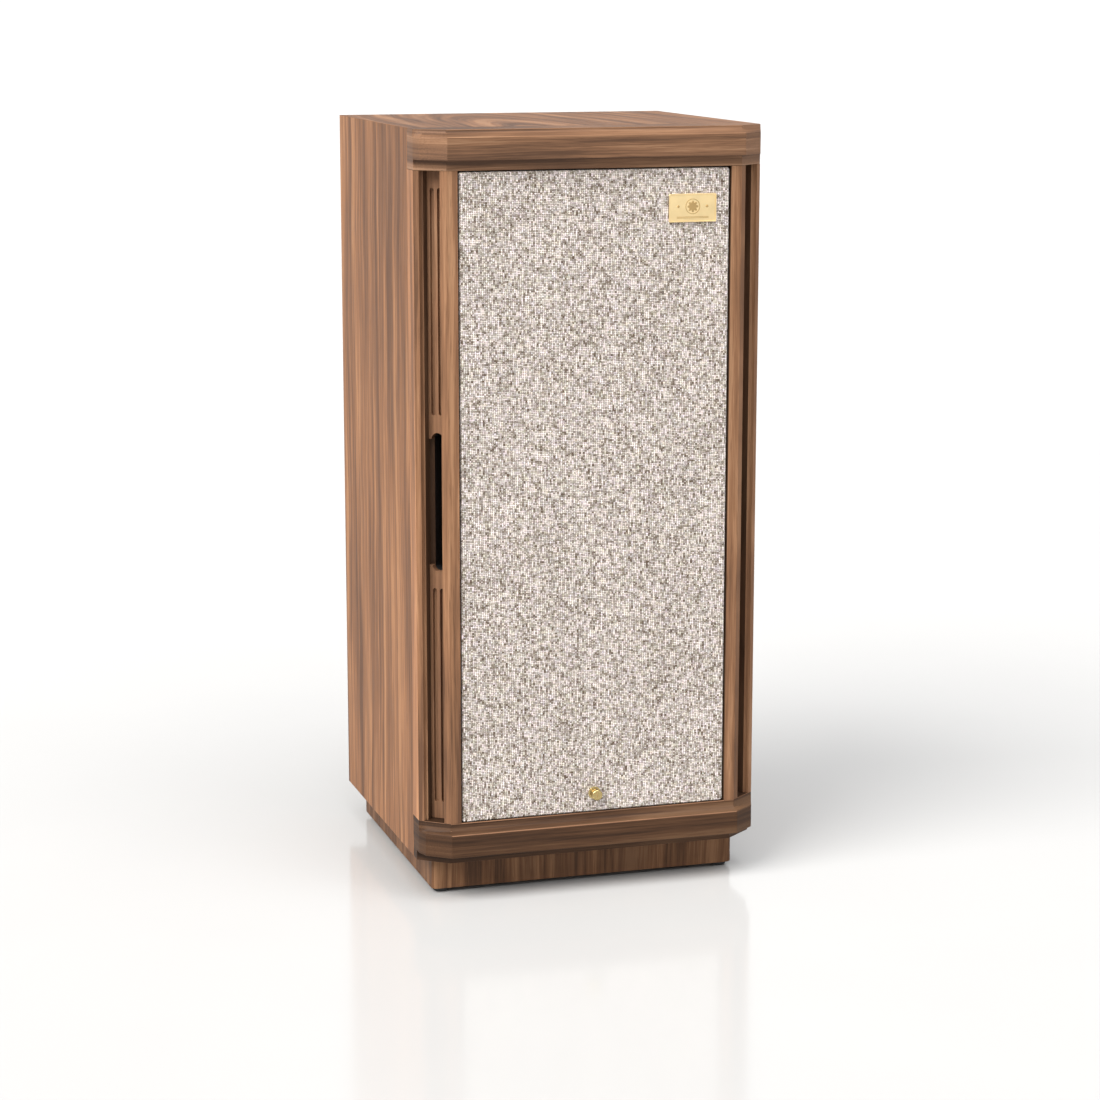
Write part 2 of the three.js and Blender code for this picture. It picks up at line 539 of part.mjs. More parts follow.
// ---- drive unit, its axis along Y ----
function addDriveUnit() {
  const flangeFront = RECESS_DEPTH - FLANGE_THICKNESS;
  const plateFront = flangeFront + 63; // the basket's rear plate
  const basket = turned([
    [107, flangeFront], [FLANGE_RADIUS, flangeFront], [FLANGE_RADIUS, RECESS_DEPTH], [117.5, RECESS_DEPTH],
    [117.5, RECESS_DEPTH + 10], [70, plateFront - 2], [70, plateFront + 4], [34, plateFront + 4], [34, plateFront],
    [66, plateFront], [66, plateFront - 4], [112, RECESS_DEPTH + 8], [112, RECESS_DEPTH - 1], [107, RECESS_DEPTH - 1],
    [107, flangeFront],
  ], 0, 0, DISC_SIDES);
  const windows = [0, 1, 2, 3, 4, 5].map((i) => box(-25, 25, at(42), at(72), 55, 130)
    .rotateY((i * Math.PI) / 3));
  add('driver_basket', cut(basket, ...windows).translate(0, 0, DRIVER_Z), castMetal);

  add('driver_trim_ring', turned([
    [108.5, flangeFront - 1.2], [109.3, flangeFront - 2], [127, flangeFront - 2], [128, flangeFront - 1],
    [128, flangeFront], [108.5, flangeFront], [108.5, flangeFront - 1.2],
  ], DRIVER_Z, 0, DISC_SIDES), rubber);

  const rollCentre = 99.8;
  const rollBase = flangeFront - 1;
  const sheet = 0.8;
  const roll = (radius, steps) => arc(rollCentre, rollBase, radius, 0, -Math.PI, steps).map((p) => [p.x, p.y]);
  add('driver_surround', turned([
    [108.2, rollBase], ...roll(7, 6), [CONE_RADIUS - 4, rollBase], [CONE_RADIUS - 4, rollBase + sheet],
    ...roll(7 - sheet, 6).reverse(), [108.2, rollBase + sheet], [108.2, rollBase],
  ], DRIVER_Z, 0, DISC_SIDES), rubber);

  const coneFront = flangeFront + 0.1;
  const coneDepth = 44;
  const coneNeck = COIL_RADIUS + 0.4;
  const wall = 1.2;
  const coneSteps = 4;
  const coneLine = (offset) => Array.from({ length: coneSteps + 1 }, (_, i) => {
    const s = i / coneSteps;
    return [CONE_RADIUS - (CONE_RADIUS - coneNeck) * s ** 0.8, coneFront + offset + coneDepth * s];
  });
  add('driver_cone', turned([...coneLine(0), ...coneLine(wall).reverse(), coneLine(0)[0]], DRIVER_Z, 0, DISC_SIDES), paper);

  const gapClear = 1;
  const coilBack = plateFront + 14;
  add('voice_coil', turned(ring(COIL_RADIUS - gapClear, COIL_RADIUS, coneFront + coneDepth - 2, coilBack),
    DRIVER_Z, 0, 24), copper);

  const spiderInner = COIL_RADIUS + 0.3;
  const waves = 4;
  const spiderLine = (offset) => Array.from({ length: 2 * waves + 1 }, (_, i) => {
    const s = i / (2 * waves);
    return [spiderInner + (64 - spiderInner) * s, plateFront - 6 + 3.8 * s + (i % 2 ? 1.2 : 0) + offset];
  });
  add('driver_spider', turned([...spiderLine(0), ...spiderLine(0.7).reverse(), spiderLine(0)[0]], DRIVER_Z, 0, 24),
    cloth);

  const frontPlate = plateFront + 4 + GAP;
  const magnet = frontPlate + 7 + GAP;
  const backPlate = magnet + 23 + GAP;
  const rear = backPlate + 9;
  add('magnet_front_plate', turned(ring(COIL_RADIUS + gapClear, 70, frontPlate, magnet - GAP), DRIVER_Z, 0, DISC_SIDES), steel);
  add('ring_magnet', turned(ring(38, MAGNET_RADIUS, magnet, backPlate - GAP), DRIVER_Z, 0, DISC_SIDES), ferrite);
  const poleFront = coneFront + coneDepth - 1;
  add('pole_and_back_plate', turned([
    [20, poleFront], [POLE_RADIUS, poleFront], [POLE_RADIUS, backPlate], [74, backPlate], [74, rear], [8, rear],
    [12, backPlate - 20], [20, poleFront],
  ], DRIVER_Z, 0, DISC_SIDES), steel);
  const unitFront = rear + GAP;
  add('treble_unit', turned([
    [0, unitFront], [46, unitFront], [46, unitFront + 26], [38, unitFront + 32], [0, unitFront + 32],
  ], DRIVER_Z, 0, 24), castMetal);
  const plugTip = poleFront - 17;
  add('phase_plug', turned([
    [0, plugTip], [3, plugTip + 1], [8, plugTip + 7], [10.5, plugTip + 16], [9, plugTip + 30], [4, plugTip + 48],
    [4, rear], [0, rear],
  ], DRIVER_Z, 0, 24), brass);
}

// ---- treble controls on the baffle ----
function addControls() {
  const plateFront = RECESS_DEPTH - 2;
  const holes = [-1, 1].map((s) => circle(3.4, s * CONTROL_KNOB_OFFSET, CONTROL_Z, 16));
  const plate = roundedRectangle(-72, 72, CONTROL_Z - 34, CONTROL_Z + 34, 6);
  add('control_plate', facing(plate, at(plateFront), at(RECESS_DEPTH), holes), brass);
  const knobFront = plateFront - 14;
  const knobBack = plateFront - GAP;
  const pointer = box(-1, 1, at(knobFront - 1), at(knobFront + 1.2), 3, CONTROL_KNOB_RADIUS + 2);
  for (const [name, sign] of [['treble_level_knob', -1], ['treble_slope_knob', 1]]) {
    const knob = cut(turned([
      [0, knobFront], [CONTROL_KNOB_RADIUS - 1, knobFront], [CONTROL_KNOB_RADIUS, knobFront + 1],
      [CONTROL_KNOB_RADIUS, knobBack], [3.1, knobBack], [3.1, RECESS_DEPTH + 16], [0, RECESS_DEPTH + 16],
    ], 0, 0, 32), pointer);
    add(name, knob.translate(sign * CONTROL_KNOB_OFFSET, 0, CONTROL_Z), brass);
  }
}

// ---- rear terminals in a well in the back panel ----
function addTerminals() {
  const plateBack = BODY_DEPTH - BACK_PANEL; // its outer face, at the bottom of the well
  const plateFront = plateBack - TERMINAL_PLATE;
  const places = [];
  for (const [tone, z] of [['treble', TERMINAL_Z + POST_SPACING_Z / 2], ['bass', TERMINAL_Z - POST_SPACING_Z / 2]]) {
    places.push([`${tone}_minus`, -POST_SPACING_X / 2, z], [`${tone}_plus`, POST_SPACING_X / 2, z]);
  }
  const margin = 12;
  const plate = roundedRectangle(-WELL_HALF_WIDTH - margin, WELL_HALF_WIDTH + margin,
    TERMINAL_Z - WELL_HALF_HEIGHT - margin, TERMINAL_Z + WELL_HALF_HEIGHT + margin, 5);
  const holes = places.map(([, x, z]) => circle(3.2, x, z, 16));
  add('terminal_plate', facing(plate, at(plateFront), at(plateBack), holes), brass);
  const seat = plateBack + GAP;
  const capLow = seat + 3 + GAP;
  for (const [name, x, z] of places) {
    add(`${name}_post`, turned([
      [0, plateFront - 9], [2.8, plateFront - 9], [2.8, seat], [8, seat], [8, seat + 3], [2.8, seat + 3],
      [2.8, capLow + 12], [0, capLow + 12],
    ], z, x, 16), brass);
    const grip = Array.from({ length: 24 }, (_, i) => {
      const a = (2 * Math.PI * i) / 24;
      const r = i % 2 ? 6.7 : 7.5;
      return V2(x + r * Math.cos(a), z + r * Math.sin(a));
    });
    add(`${name}_cap`, facing(grip, at(capLow), at(capLow + 10.5), [circle(3.1, x, z, 16)]), brass);
  }
}

// ---- crossover, leads and wadding inside ----
function lead(points, radius = 2) {
  const path = new THREE.CatmullRomCurve3(points.map(([x, depth, z]) => new THREE.Vector3(x, at(depth), z)));
  const section = new THREE.Shape(circle(radius, 0, 0, 8));
  return new THREE.ExtrudeGeometry(section, { steps: 24, extrudePath: path });
}

function addInside() {
  const floor = CARCASS_BASE + PANEL;
  const board = floor + 3;
  add('crossover_board', box(-110, 110, at(110), at(260), floor, board), circuitBoard);
  add('crossover_inductor', turnedUpright([
    [12, board], [28, board], [28, board + 22], [12, board + 22], [12, board],
  ], -60, at(180), 32), copper);
  const capacitorRadius = 13;
  const can = turnedUpright([[0, 0], [capacitorRadius, 0], [capacitorRadius, 46], [0, 46]], 0, 0);
  add('crossover_capacitor', can.rotateX(Math.PI / 2).translate(20, at(210), board + capacitorRadius + GAP), clearPlastic);

  add('rear_wadding', box(-160, 160, at(320), BACK - BACK_PANEL - GAP, 430, 725), wadding);
  const plateInside = BODY_DEPTH - BACK_PANEL - TERMINAL_PLATE;
  const onBoard = board + 1;
  add('input_lead', lead([
    [0, plateInside - GAP, TERMINAL_Z], [0, plateInside - 12, TERMINAL_Z], [8, plateInside - 45, 125],
    [60, 285, 98], [83, 240, 88], [85, 235, board + 14], [85, 235, onBoard],
  ]), rubber);
  add('driver_lead', lead([
    [85, 150, onBoard], [85, 150, board + 14], [88, 165, 180], [92, 182, 300], [84, 178, 400], [60, 140, 460],
    [25, 90, 478], [12, 72, 490],
  ]), rubber);
}

addCarcass();
addMouldings();
addPostsAndSlats();
addPlinth();
addBaffle();
addGrille();
addLock();
addDriveUnit();
addControls();
addTerminals();
addInside();

export default group;
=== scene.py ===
import math
import random

import bmesh
import bpy
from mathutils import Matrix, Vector


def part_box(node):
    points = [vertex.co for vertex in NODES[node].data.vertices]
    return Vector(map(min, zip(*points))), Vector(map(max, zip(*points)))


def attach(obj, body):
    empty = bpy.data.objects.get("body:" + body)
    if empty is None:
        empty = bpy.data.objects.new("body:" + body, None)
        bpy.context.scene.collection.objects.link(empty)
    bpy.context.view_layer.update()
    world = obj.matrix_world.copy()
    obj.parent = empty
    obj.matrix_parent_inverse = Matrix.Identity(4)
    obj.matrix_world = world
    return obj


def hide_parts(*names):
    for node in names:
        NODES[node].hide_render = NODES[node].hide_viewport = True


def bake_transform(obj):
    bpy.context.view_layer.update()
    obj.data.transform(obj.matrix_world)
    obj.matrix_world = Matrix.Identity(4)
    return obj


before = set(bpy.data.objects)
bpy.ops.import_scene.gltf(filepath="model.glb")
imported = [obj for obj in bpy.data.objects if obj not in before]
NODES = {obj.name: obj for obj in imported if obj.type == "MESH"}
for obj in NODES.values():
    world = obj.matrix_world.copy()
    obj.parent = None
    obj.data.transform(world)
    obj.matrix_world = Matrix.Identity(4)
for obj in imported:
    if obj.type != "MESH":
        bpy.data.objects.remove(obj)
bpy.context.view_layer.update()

MM = 0.001

# ---- places taken from the frame ----
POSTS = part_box("left_corner_post")
FRONT = POSTS[0].y  # the posts' front faces
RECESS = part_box("baffle")[0].y  # the baffle's front face
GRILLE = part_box("grille_cloth")
GRILLE_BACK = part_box("grille_frame")[1].y
CLOTH_FACE = FRONT + 1.0 * MM
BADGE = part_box("badge_plate")
KNOB_Z = sum(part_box("lock_knob"), Vector()).z / 2
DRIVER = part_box("driver_basket")
DRIVER_Z = sum(DRIVER, Vector()).z / 2
DRIVER_AXIS = (0, DRIVER_Z)
FLANGE_FRONT = DRIVER[0].y
CHAMFER_WIDE = 30.4 * MM
CHAMFER_DEPTH = 24.4 * MM
CHAMFER_OUT = POSTS[0].x + CHAMFER_WIDE  # the left chamfer's front corner
PORT_LOW, PORT_HIGH = 0.360, 0.534
CHANNEL_STEP = 6.5 * MM  # below the chamfer's face
PORT_STEP = 24.8 * MM

CAMERA_PLACE = (-0.94218, -3.09076, 0.99812)
CAMERA_YAW = -17.0
CAMERA_PITCH = -11.25
CAMERA_LENS = 92.8

FACE_SLOT, ARRIS_SLOT, FACET_SLOT = 0, 1, 2  # a moulding's finishes
# The channel and port slots hold painted shade.
CHANNEL_SHADE_SLOT, PORT_SHADE_SLOT, FLANK_SLOT = 2, 3, 4  # a post's further finishes

WARP_PITCH = 2.1 * MM
WEFT_PITCH = 1.8 * MM
BACKDROP = 1.08
CEILING = 0.38
FLOOR_TONE = 0.425


# ---- geometry helpers ----
def place(thing):
    bpy.context.scene.collection.objects.link(thing)
    return thing


def link(name, mesh, finish, body, *replaced, sharp=35.0):
    """Puts a mesh in the scene as a named piece that rides on a body and stands for CAD nodes."""
    mesh.name = name
    mesh.validate()
    mesh.polygons.foreach_set("use_smooth", [True] * len(mesh.polygons))
    mesh.set_sharp_from_angle(angle=math.radians(sharp))
    piece = place(bpy.data.objects.new(name, mesh))
    mesh.materials.append(FINISHES[finish])
    if body:
        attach(piece, body)
    if replaced:
        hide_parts(*replaced)
    return piece


def middle(node):
    return sum(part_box(node), Vector()) / 2


def ring_faces(rows, count, closed=False):
    """Quads between rows of points that each go once round."""
    faces = []
    for i in range(rows if closed else rows - 1):
        j = (i + 1) % rows
        for k in range(count):
            n = (k + 1) % count
            faces.append((i * count + k, i * count + n, j * count + n, j * count + k))
    return faces


def mesh_from(vertices, faces):
    """A mesh without doubled points, its faces turned outwards."""
    mesh = bpy.data.meshes.new("mesh")
    mesh.from_pydata(vertices, [], faces)
    work = bmesh.new()
    work.from_mesh(mesh)
    bmesh.ops.remove_doubles(work, verts=work.verts, dist=1e-6)
    bmesh.ops.dissolve_degenerate(work, dist=1e-7, edges=work.edges)
    bmesh.ops.recalc_face_normals(work, faces=work.faces)
    work.to_mesh(mesh)
    work.free()
    return mesh


def softened(points, radius, closed=True, steps=3):
    """A profile with its corners rounded by about radius."""
    out = []
    count = len(points)
    for i, point in enumerate(points):
        here = Vector(point)
        ends = not closed and i in (0, count - 1)
        before = Vector(points[i - 1]) - here
        after = Vector(points[(i + 1) % count]) - here
        if ends or before.length < 1e-9 or after.length < 1e-9 or here.x < 1e-7:
            out.append(tuple(here))
            continue
        reach = min(radius, before.length * 0.45, after.length * 0.45)
        first = here + before.normalized() * reach
        last = here + after.normalized() * reach
        for k in range(steps + 1):
            t = k / steps
            out.append(tuple(first * (1 - t) ** 2 + here * (2 * t * (1 - t)) + last * t * t))
    return out


def revolved(profile, centre, segments=96, axis="Y", closed=True, shape=None):
    """A body turned about an axis through centre. The profile holds (radius, place along the axis)
    pairs, and shape(radius, place, angle) may change a point's radius."""
    vertices = []
    cx, cy = centre
    for radius, along in profile:
        for k in range(segments):
            angle = 2 * math.pi * k / segments
            r = shape(radius, along, angle) if shape else radius
            u, v = r * math.cos(angle), r * math.sin(angle)
            vertices.append((cx + u, along, cy + v) if axis == "Y" else (cx + u, cy + v, along))
    return mesh_from(vertices, ring_faces(len(profile), segments, closed))


def near(radius, along, *steps):
    """Profile points, given in millimetres from one point."""
    return [(radius + a * MM, along + b * MM) for a, b in steps]


def turned(name, profile, centre, finish, body, *replaced, ease=0.0, segments=96, axis="Y", closed=True,
           shape=None):
    """A revolved piece in the scene, its profile's corners rounded by about ease."""
    if ease:
        profile = softened(profile, ease, closed)
    return link(name, revolved(profile, centre, segments, axis, closed, shape), finish, body, *replaced)


def box_centre(node):
    """Where the axis of a piece that faces -Y lies, as (x, z)."""
    return middle(node).x, middle(node).z


def half_width(node):
    low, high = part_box(node)
    return (high.x - low.x) / 2


def span(node, axis=1):
    """Where a node starts and ends, along Y or another axis."""
    low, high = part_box(node)
    return low[axis], high[axis]


def rounded_outline(x0, x1, z0, z1, radius, steps=5):
    """Points round a rectangle with round corners, anticlockwise."""
    corners = [(x1 - radius, z0 + radius, -90), (x1 - radius, z1 - radius, 0),
               (x0 + radius, z1 - radius, 90), (x0 + radius, z0 + radius, 180)]
    points = []
    for cx, cz, start in corners:
        for k in range(steps + 1):
            angle = math.radians(start + 90 * k / steps)
            points.append((cx + radius * math.cos(angle), cz + radius * math.sin(angle)))
    return points


def plate(box, radius, edge=0.4 * MM, holes=()):
    """A flat plate facing -Y, with round corners, a softened front edge and round holes."""
    (x0, y0, z0), (x1, y1, z1) = box
    loops = []
    for inset, y in ((edge, y0), (edge * 0.3, y0 + edge * 0.3), (0, y0 + edge), (0, y1)):
        outline = rounded_outline(x0 + inset, x1 - inset, z0 + inset, z1 - inset, radius - inset)
        loops.append([(x, y, z) for x, z in outline])
    count = len(loops[0])
    vertices = [p for loop in loops for p in loop]
    ends = [tuple(range(count)), tuple(range((len(loops) - 1) * count, len(loops) * count))]
    mesh = mesh_from(vertices, ends + ring_faces(len(loops), count))
    for cx, cz, r in holes:
        mesh = bored(mesh, cx, cz, r, y0, y1)
    return mesh


def bored(mesh, cx, cz, radius, y0, y1):
    """The mesh with a round hole cut through it along Y."""
    profile = [(0, y0 - MM), (radius, y0 - MM), (radius, y1 + MM), (0, y1 + MM)]
    tool = revolved(profile, (cx, cz), 32)
    body = place(bpy.data.objects.new("body", mesh))
    cutter = place(bpy.data.objects.new("cutter", tool))
    modifier = body.modifiers.new("bore", "BOOLEAN")
    modifier.operation = "DIFFERENCE"
    modifier.object = cutter
    modifier.solver = "EXACT"
    bpy.context.view_layer.update()
    result = bpy.data.meshes.new_from_object(body.evaluated_get(bpy.context.evaluated_depsgraph_get()))
    for thing in (body, cutter):
        bpy.data.objects.remove(thing)
    return result


def joined(meshes):
    """Several meshes as one."""
    work = bmesh.new()
    for mesh in meshes:
        work.from_mesh(mesh)
    result = bpy.data.meshes.new("joined")
    work.to_mesh(result)
    work.free()
    return result


def dress(node, finish, edge=0.5 * MM):
    """Gives a CAD node its finish and softened arrises."""
    piece = NODES[node]
    piece.data.materials.clear()
    piece.data.materials.append(FINISHES[finish])
    if not edge:
        return
    piece.modifiers.new("weld", "WELD").merge_threshold = 0.01 * MM
    flat = piece.modifiers.new("flat", "DECIMATE")
    flat.decimate_type = "DISSOLVE"
    flat.angle_limit = math.radians(0.5)
    bevel = piece.modifiers.new("arris", "BEVEL")
    bevel.width = edge
    bevel.segments = 2
    bevel.limit_method = "ANGLE"
    bevel.angle_limit = math.radians(25)
    bevel.use_clamp_overlap = True


def timber(node, finish, arris, width=0.6 * MM, body="cabinet"):
    """A wooden piece in the shape of its CAD node, with its outer arrises eased; a lighter arris finish is a
    painted highlight.
    """
    work = bmesh.new()
    work.from_mesh(NODES[node].data)
    bmesh.ops.remove_doubles(work, verts=work.verts, dist=1e-6)
    bmesh.ops.dissolve_limit(work, angle_limit=math.radians(0.5), verts=work.verts, edges=work.edges)
    bmesh.ops.recalc_face_normals(work, faces=work.faces)
    corners = [edge for edge in work.edges
               if edge.is_manifold and edge.is_convex and edge.calc_face_angle(0) > math.radians(25)]
    bmesh.ops.bevel(work, geom=corners, offset=width, segments=2, profile=0.5, affect="EDGES",
                    clamp_overlap=True, material=ARRIS_SLOT)
    mesh = bpy.data.meshes.new(node + "_wood")
    work.to_mesh(mesh)
    work.free()
    piece = link(node + "_wood", mesh, finish, body, node, sharp=60)
    flat = piece.modifiers.new("flat_faces", "WEIGHTED_NORMAL")
    flat.keep_sharp = True
    flat.weight = 100
    mesh.materials.append(FINISHES[arris])
    return piece


# ---- node helpers ----
class Shader:
    """Writes one material's nodes."""

    def __init__(self, name, roughness=0.5, metallic=0.0, **uniform):
        self.material = bpy.data.materials.new(name)
        self.material.use_nodes = True
        self.tree = self.material.node_tree
        self.surface = self.tree.nodes["Principled BSDF"]
        self.surface.inputs["Roughness"].default_value = roughness
        self.surface.inputs["Metallic"].default_value = metallic
        for key, value in uniform.items():
            self.surface.inputs[key.replace("_", " ")].default_value = value
        self.place = self.tree.nodes.new("ShaderNodeTexCoord").outputs["Object"]

    def node(self, kind, inputs=None, **settings):
        made = self.tree.nodes.new(kind)
        for key, value in settings.items():
            setattr(made, key, value)
        for key, value in (inputs or {}).items():
            if isinstance(value, bpy.types.NodeSocket):
                self.tree.links.new(value, made.inputs[key])
            else:
                made.inputs[key].default_value = value
        return made

    def math(self, operation, a, b=0.0, c=0.0):
        return self.node("ShaderNodeMath", {0: a, 1: b, 2: c}, operation=operation).outputs[0]

    def plus(self, a, b):
        return self.math("ADD", a, b)

    def minus(self, a, b):
        return self.math("SUBTRACT", a, b)

    def times(self, a, b):
        return self.math("MULTIPLY", a, b)

    def xyz(self, vector):
        made = self.node("ShaderNodeSeparateXYZ", {0: vector})
        return made.outputs["X"], made.outputs["Y"], made.outputs["Z"]

    def vector(self, x=0.0, y=0.0, z=0.0):
        return self.node("ShaderNodeCombineXYZ", {0: x, 1: y, 2: z}).outputs[0]

    def scaled(self, vector, scale, location=(0, 0, 0)):
        values = {"Vector": vector, "Scale": scale, "Location": location}
        return self.node("ShaderNodeMapping", values).outputs[0]

    def noise(self, vector, scale=1.0, detail=2.0, roughness=0.5, distortion=0.0):
        made = self.node("ShaderNodeTexNoise", {"Vector": vector, "Scale": scale, "Detail": detail,
                                                "Roughness": roughness, "Distortion": distortion})
        return made.outputs[0]

    def ramp(self, factor, stops, interpolation="LINEAR"):
        made = self.node("ShaderNodeValToRGB", {0: factor})
        made.color_ramp.interpolation = interpolation
        elements = made.color_ramp.elements
        while len(elements) < len(stops):
            elements.new(0.5)
        for element, (position, colour) in zip(elements, stops):
            element.position = position
            element.color = (*colour, 1) if len(colour) == 3 else colour
        return made.outputs[0]

    def spread(self, value, low, high, to_low=0.0, to_high=1.0):
        return self.node("ShaderNodeMapRange", {"Value": value, "From Min": low, "From Max": high,
                                                "To Min": to_low, "To Max": to_high}).outputs[0]

    def mix(self, factor, a, b, blend="MIX"):
        made = self.node("ShaderNodeMix", data_type="RGBA", blend_type=blend)
        for index, value in ((0, factor), (6, a), (7, b)):
            if isinstance(value, bpy.types.NodeSocket):
                self.tree.links.new(value, made.inputs[index])
            else:
                made.inputs[index].default_value = value if index == 0 else (*value, 1)
        return made.outputs[2]

    def colour(self, value):
        self.set("Base Color", value if isinstance(value, bpy.types.NodeSocket) else (*value, 1))

    def set(self, key, value):
        if isinstance(value, bpy.types.NodeSocket):
            self.tree.links.new(value, self.surface.inputs[key])
        else:
            self.surface.inputs[key].default_value = value

    def bump(self, height, distance, strength=1.0):
        made = self.node("ShaderNodeBump", {"Height": height, "Distance": distance, "Strength": strength})
        self.tree.links.new(made.outputs[0], self.surface.inputs["Normal"])


# ---- materials ----
def walnut(name, grain="Z", tone=0.5, shift=(0.0, 0.0, 0.0), pith=(0.3, 0.1), taper=0.0, streaks=0.5,
           contrast=2.2, warmth=1.0, waver=0.05, rate=34.0):
    """Satin walnut veneer. grain is the axis of the fibres, or Z_side on a board that faces sideways.
    pith is where the trunk's middle lies, across the board and below its face, and taper is how fast
    it dips along the grain. streaks are the dark bands, and waver and rate say how wavy and how
    narrow the growth rings are."""
    roughness = 0.5
    s = Shader(name, roughness, Specular_IOR_Level=0.12)
    x, y, z = s.xyz(s.scaled(s.place, (1, 1, 1), shift))
    along, across, below = {"X": (x, y, z), "Y": (y, x, z), "Z": (z, x, y), "Z_side": (z, y, x)}[grain]
    fibre_place = s.vector(across, below, along)
    wander = s.minus(s.noise(s.scaled(fibre_place, (5.0, 5.0, 2.6)), 1.0, 2.0, 0.5), 0.5)
    flat_part = s.plus(across, -pith[0])
    deep_part = s.plus(s.times(along, taper), s.plus(below, pith[1]))
    radius = s.math("SQRT", s.plus(s.times(flat_part, flat_part), s.times(deep_part, deep_part)))
    ring = s.plus(radius, s.times(wander, waver))

    def bands(across_rate, row, along_rate, detail, roughness):
        """Noise drawn out along the grain. Each row is its own pattern."""
        place = s.vector(s.times(ring, across_rate), row, s.times(along, along_rate))
        return s.noise(place, 1.0, detail, roughness)

    rings = bands(rate, 3.1, 1.7, 7.0, 0.60)
    lines = bands(210.0, 8.3, 4.0, 3.0, 0.65)
    fibres = s.noise(s.scaled(fibre_place, (1500, 1500, 26)), 1.0, 1.0)
    total = s.plus(s.times(rings, 0.55), s.times(lines, 0.33))
    total = s.plus(total, s.times(fibres, 0.12))
    total = s.plus(s.times(s.minus(total, 0.5), contrast), 0.5)
    red, green, blue = (tone * warmth, tone, tone / warmth ** 1.4)
    shades = [(0.34, (0.22, 0.115, 0.068)), (0.43, (0.35, 0.180, 0.100)), (0.50, (0.43, 0.220, 0.120)),
              (0.57, (0.52, 0.268, 0.145)), (0.66, (0.70, 0.390, 0.220))]
    wood = s.ramp(total, [(p, (r * red, g * green, b * blue)) for p, (r, g, b) in shades])

    spindles = bands(46.0, 5.7, 5.5, 2.0, 0.5)
    dusk = s.times(s.spread(spindles, 0.50, 0.68), streaks)
    wood = s.mix(dusk, wood, (0.25 * red, 0.135 * green, 0.085 * blue))
    pores = s.spread(s.noise(s.scaled(fibre_place, (1150, 1150, 42)), 1.0, 1.0), 0.61, 0.73)
    wood = s.mix(s.times(pores, 0.35), wood, (0.11 * red, 0.055 * green, 0.032 * blue))
    s.colour(wood)
    s.set("Roughness", s.spread(fibres, 0.3, 0.7, roughness - 0.05, roughness + 0.09))
    s.bump(s.minus(s.times(fibres, 0.6), pores), 0.00012, 0.35)
    return s.material


def tweed(tone):
    """Grille cloth: a plain weave of mixed yarns, cream and grey with flecks of brown and ochre."""
    s = Shader("tweed", 0.92, Sheen_Weight=0.1, Sheen_Roughness=0.5, Specular_IOR_Level=0.2)
    x, y, z = s.xyz(s.place)
    # the turned-in edges run back along Y, so depth is added to both yarns' places
    wobble = s.minus(s.noise(s.scaled(s.place, (120, 120, 60)), 1.0, 1.0), 0.5)
    wobble_up = s.minus(s.noise(s.scaled(s.place, (60, 60, 130), (0.5, 0, 0)), 1.0, 1.0), 0.5)
    u = s.plus(s.times(s.plus(x, y), 1 / WARP_PITCH), s.times(wobble, 1.2))
    v = s.plus(s.times(s.plus(z, y), 1 / WEFT_PITCH), s.times(wobble_up, 1.0))
    column, row = s.math("FLOOR", u), s.math("FLOOR", v)
    over = s.math("MODULO", s.plus(s.plus(column, row), 4000.0), 2.0)

    def yarn(index, along, seed):
        """One thread's shade and hue as they change along it."""
        thread = s.times(index, 7.31)
        place = s.vector(thread, s.times(along, 0.24), seed)
        values = {"Vector": place, "Scale": 1.0, "Detail": 3.0, "Roughness": 0.7}
        made = s.node("ShaderNodeTexNoise", values)
        return s.spread(made.outputs[0], 0.25, 0.75), made.outputs[1]

    warp, warp_hue = yarn(column, v, 1.0)
    weft, weft_hue = yarn(row, u, 9.0)
    shade = s.node("ShaderNodeMix", {0: over, 2: weft, 3: warp}).outputs[0]
    grit = s.node("ShaderNodeTexWhiteNoise", {0: s.vector(column, row, 0.5)}).outputs[0]
    for part, share in ((warp, 0.42), (grit, 0.10)):
        shade = s.plus(s.times(shade, 1 - share), s.times(part, share))
    shades = [(0.25, (0.24, 0.155, 0.110)), (0.38, (0.62, 0.515, 0.44)), (0.48, (1.00, 0.91, 0.83)),
              (0.57, (1.37, 1.28, 1.20)), (0.68, (1.75, 1.67, 1.60))]
    cloth = s.ramp(shade, shades)
    hue = s.mix(0.5, warp_hue, weft_hue)
    hue = s.mix(1.0, s.mix(1.0, hue, (0.5, 0.5, 0.5), "SUBTRACT"), (0.80, 0.36, 0.85), "MULTIPLY")
    cloth = s.mix(1.0, cloth, s.mix(1.0, hue, (1.0, 1.0, 1.0), "ADD"), "MULTIPLY")
    patch = s.spread(s.noise(s.scaled(s.place, (30, 30, 17)), 1.0, 3.0), 0.3, 0.7, 0.95 * tone, 1.05 * tone)
    cloth = s.mix(1.0, cloth, s.vector(patch, patch, patch), "MULTIPLY")

    def edge(value):
        """0 in the middle of a yarn and 1 between two yarns."""
        return s.times(s.math("ABSOLUTE", s.minus(s.math("FRACT", value), 0.5)), 2.0)

    side, end = edge(u), edge(v)
    across = s.node("ShaderNodeMix", {0: over, 2: end, 3: side}).outputs[0]
    gap = s.times(s.spread(side, 0.35, 0.95), s.spread(end, 0.35, 0.95))
    # Painted shade: the sides of each yarn on top are darkened, and the gaps between yarns are darkened for
    # the dark behind the cloth and for painted shade.
    dark = s.plus(s.times(gap, 0.95), s.spread(across, 0.35, 1.0, 0.0, 0.62))
    cloth = s.mix(dark, cloth, (0.20 * tone, 0.125 * tone, 0.085 * tone))
    s.colour(cloth)
    height = s.minus(1.0, s.times(across, across))
    s.bump(height, 0.00035, 0.6)
    return s.material


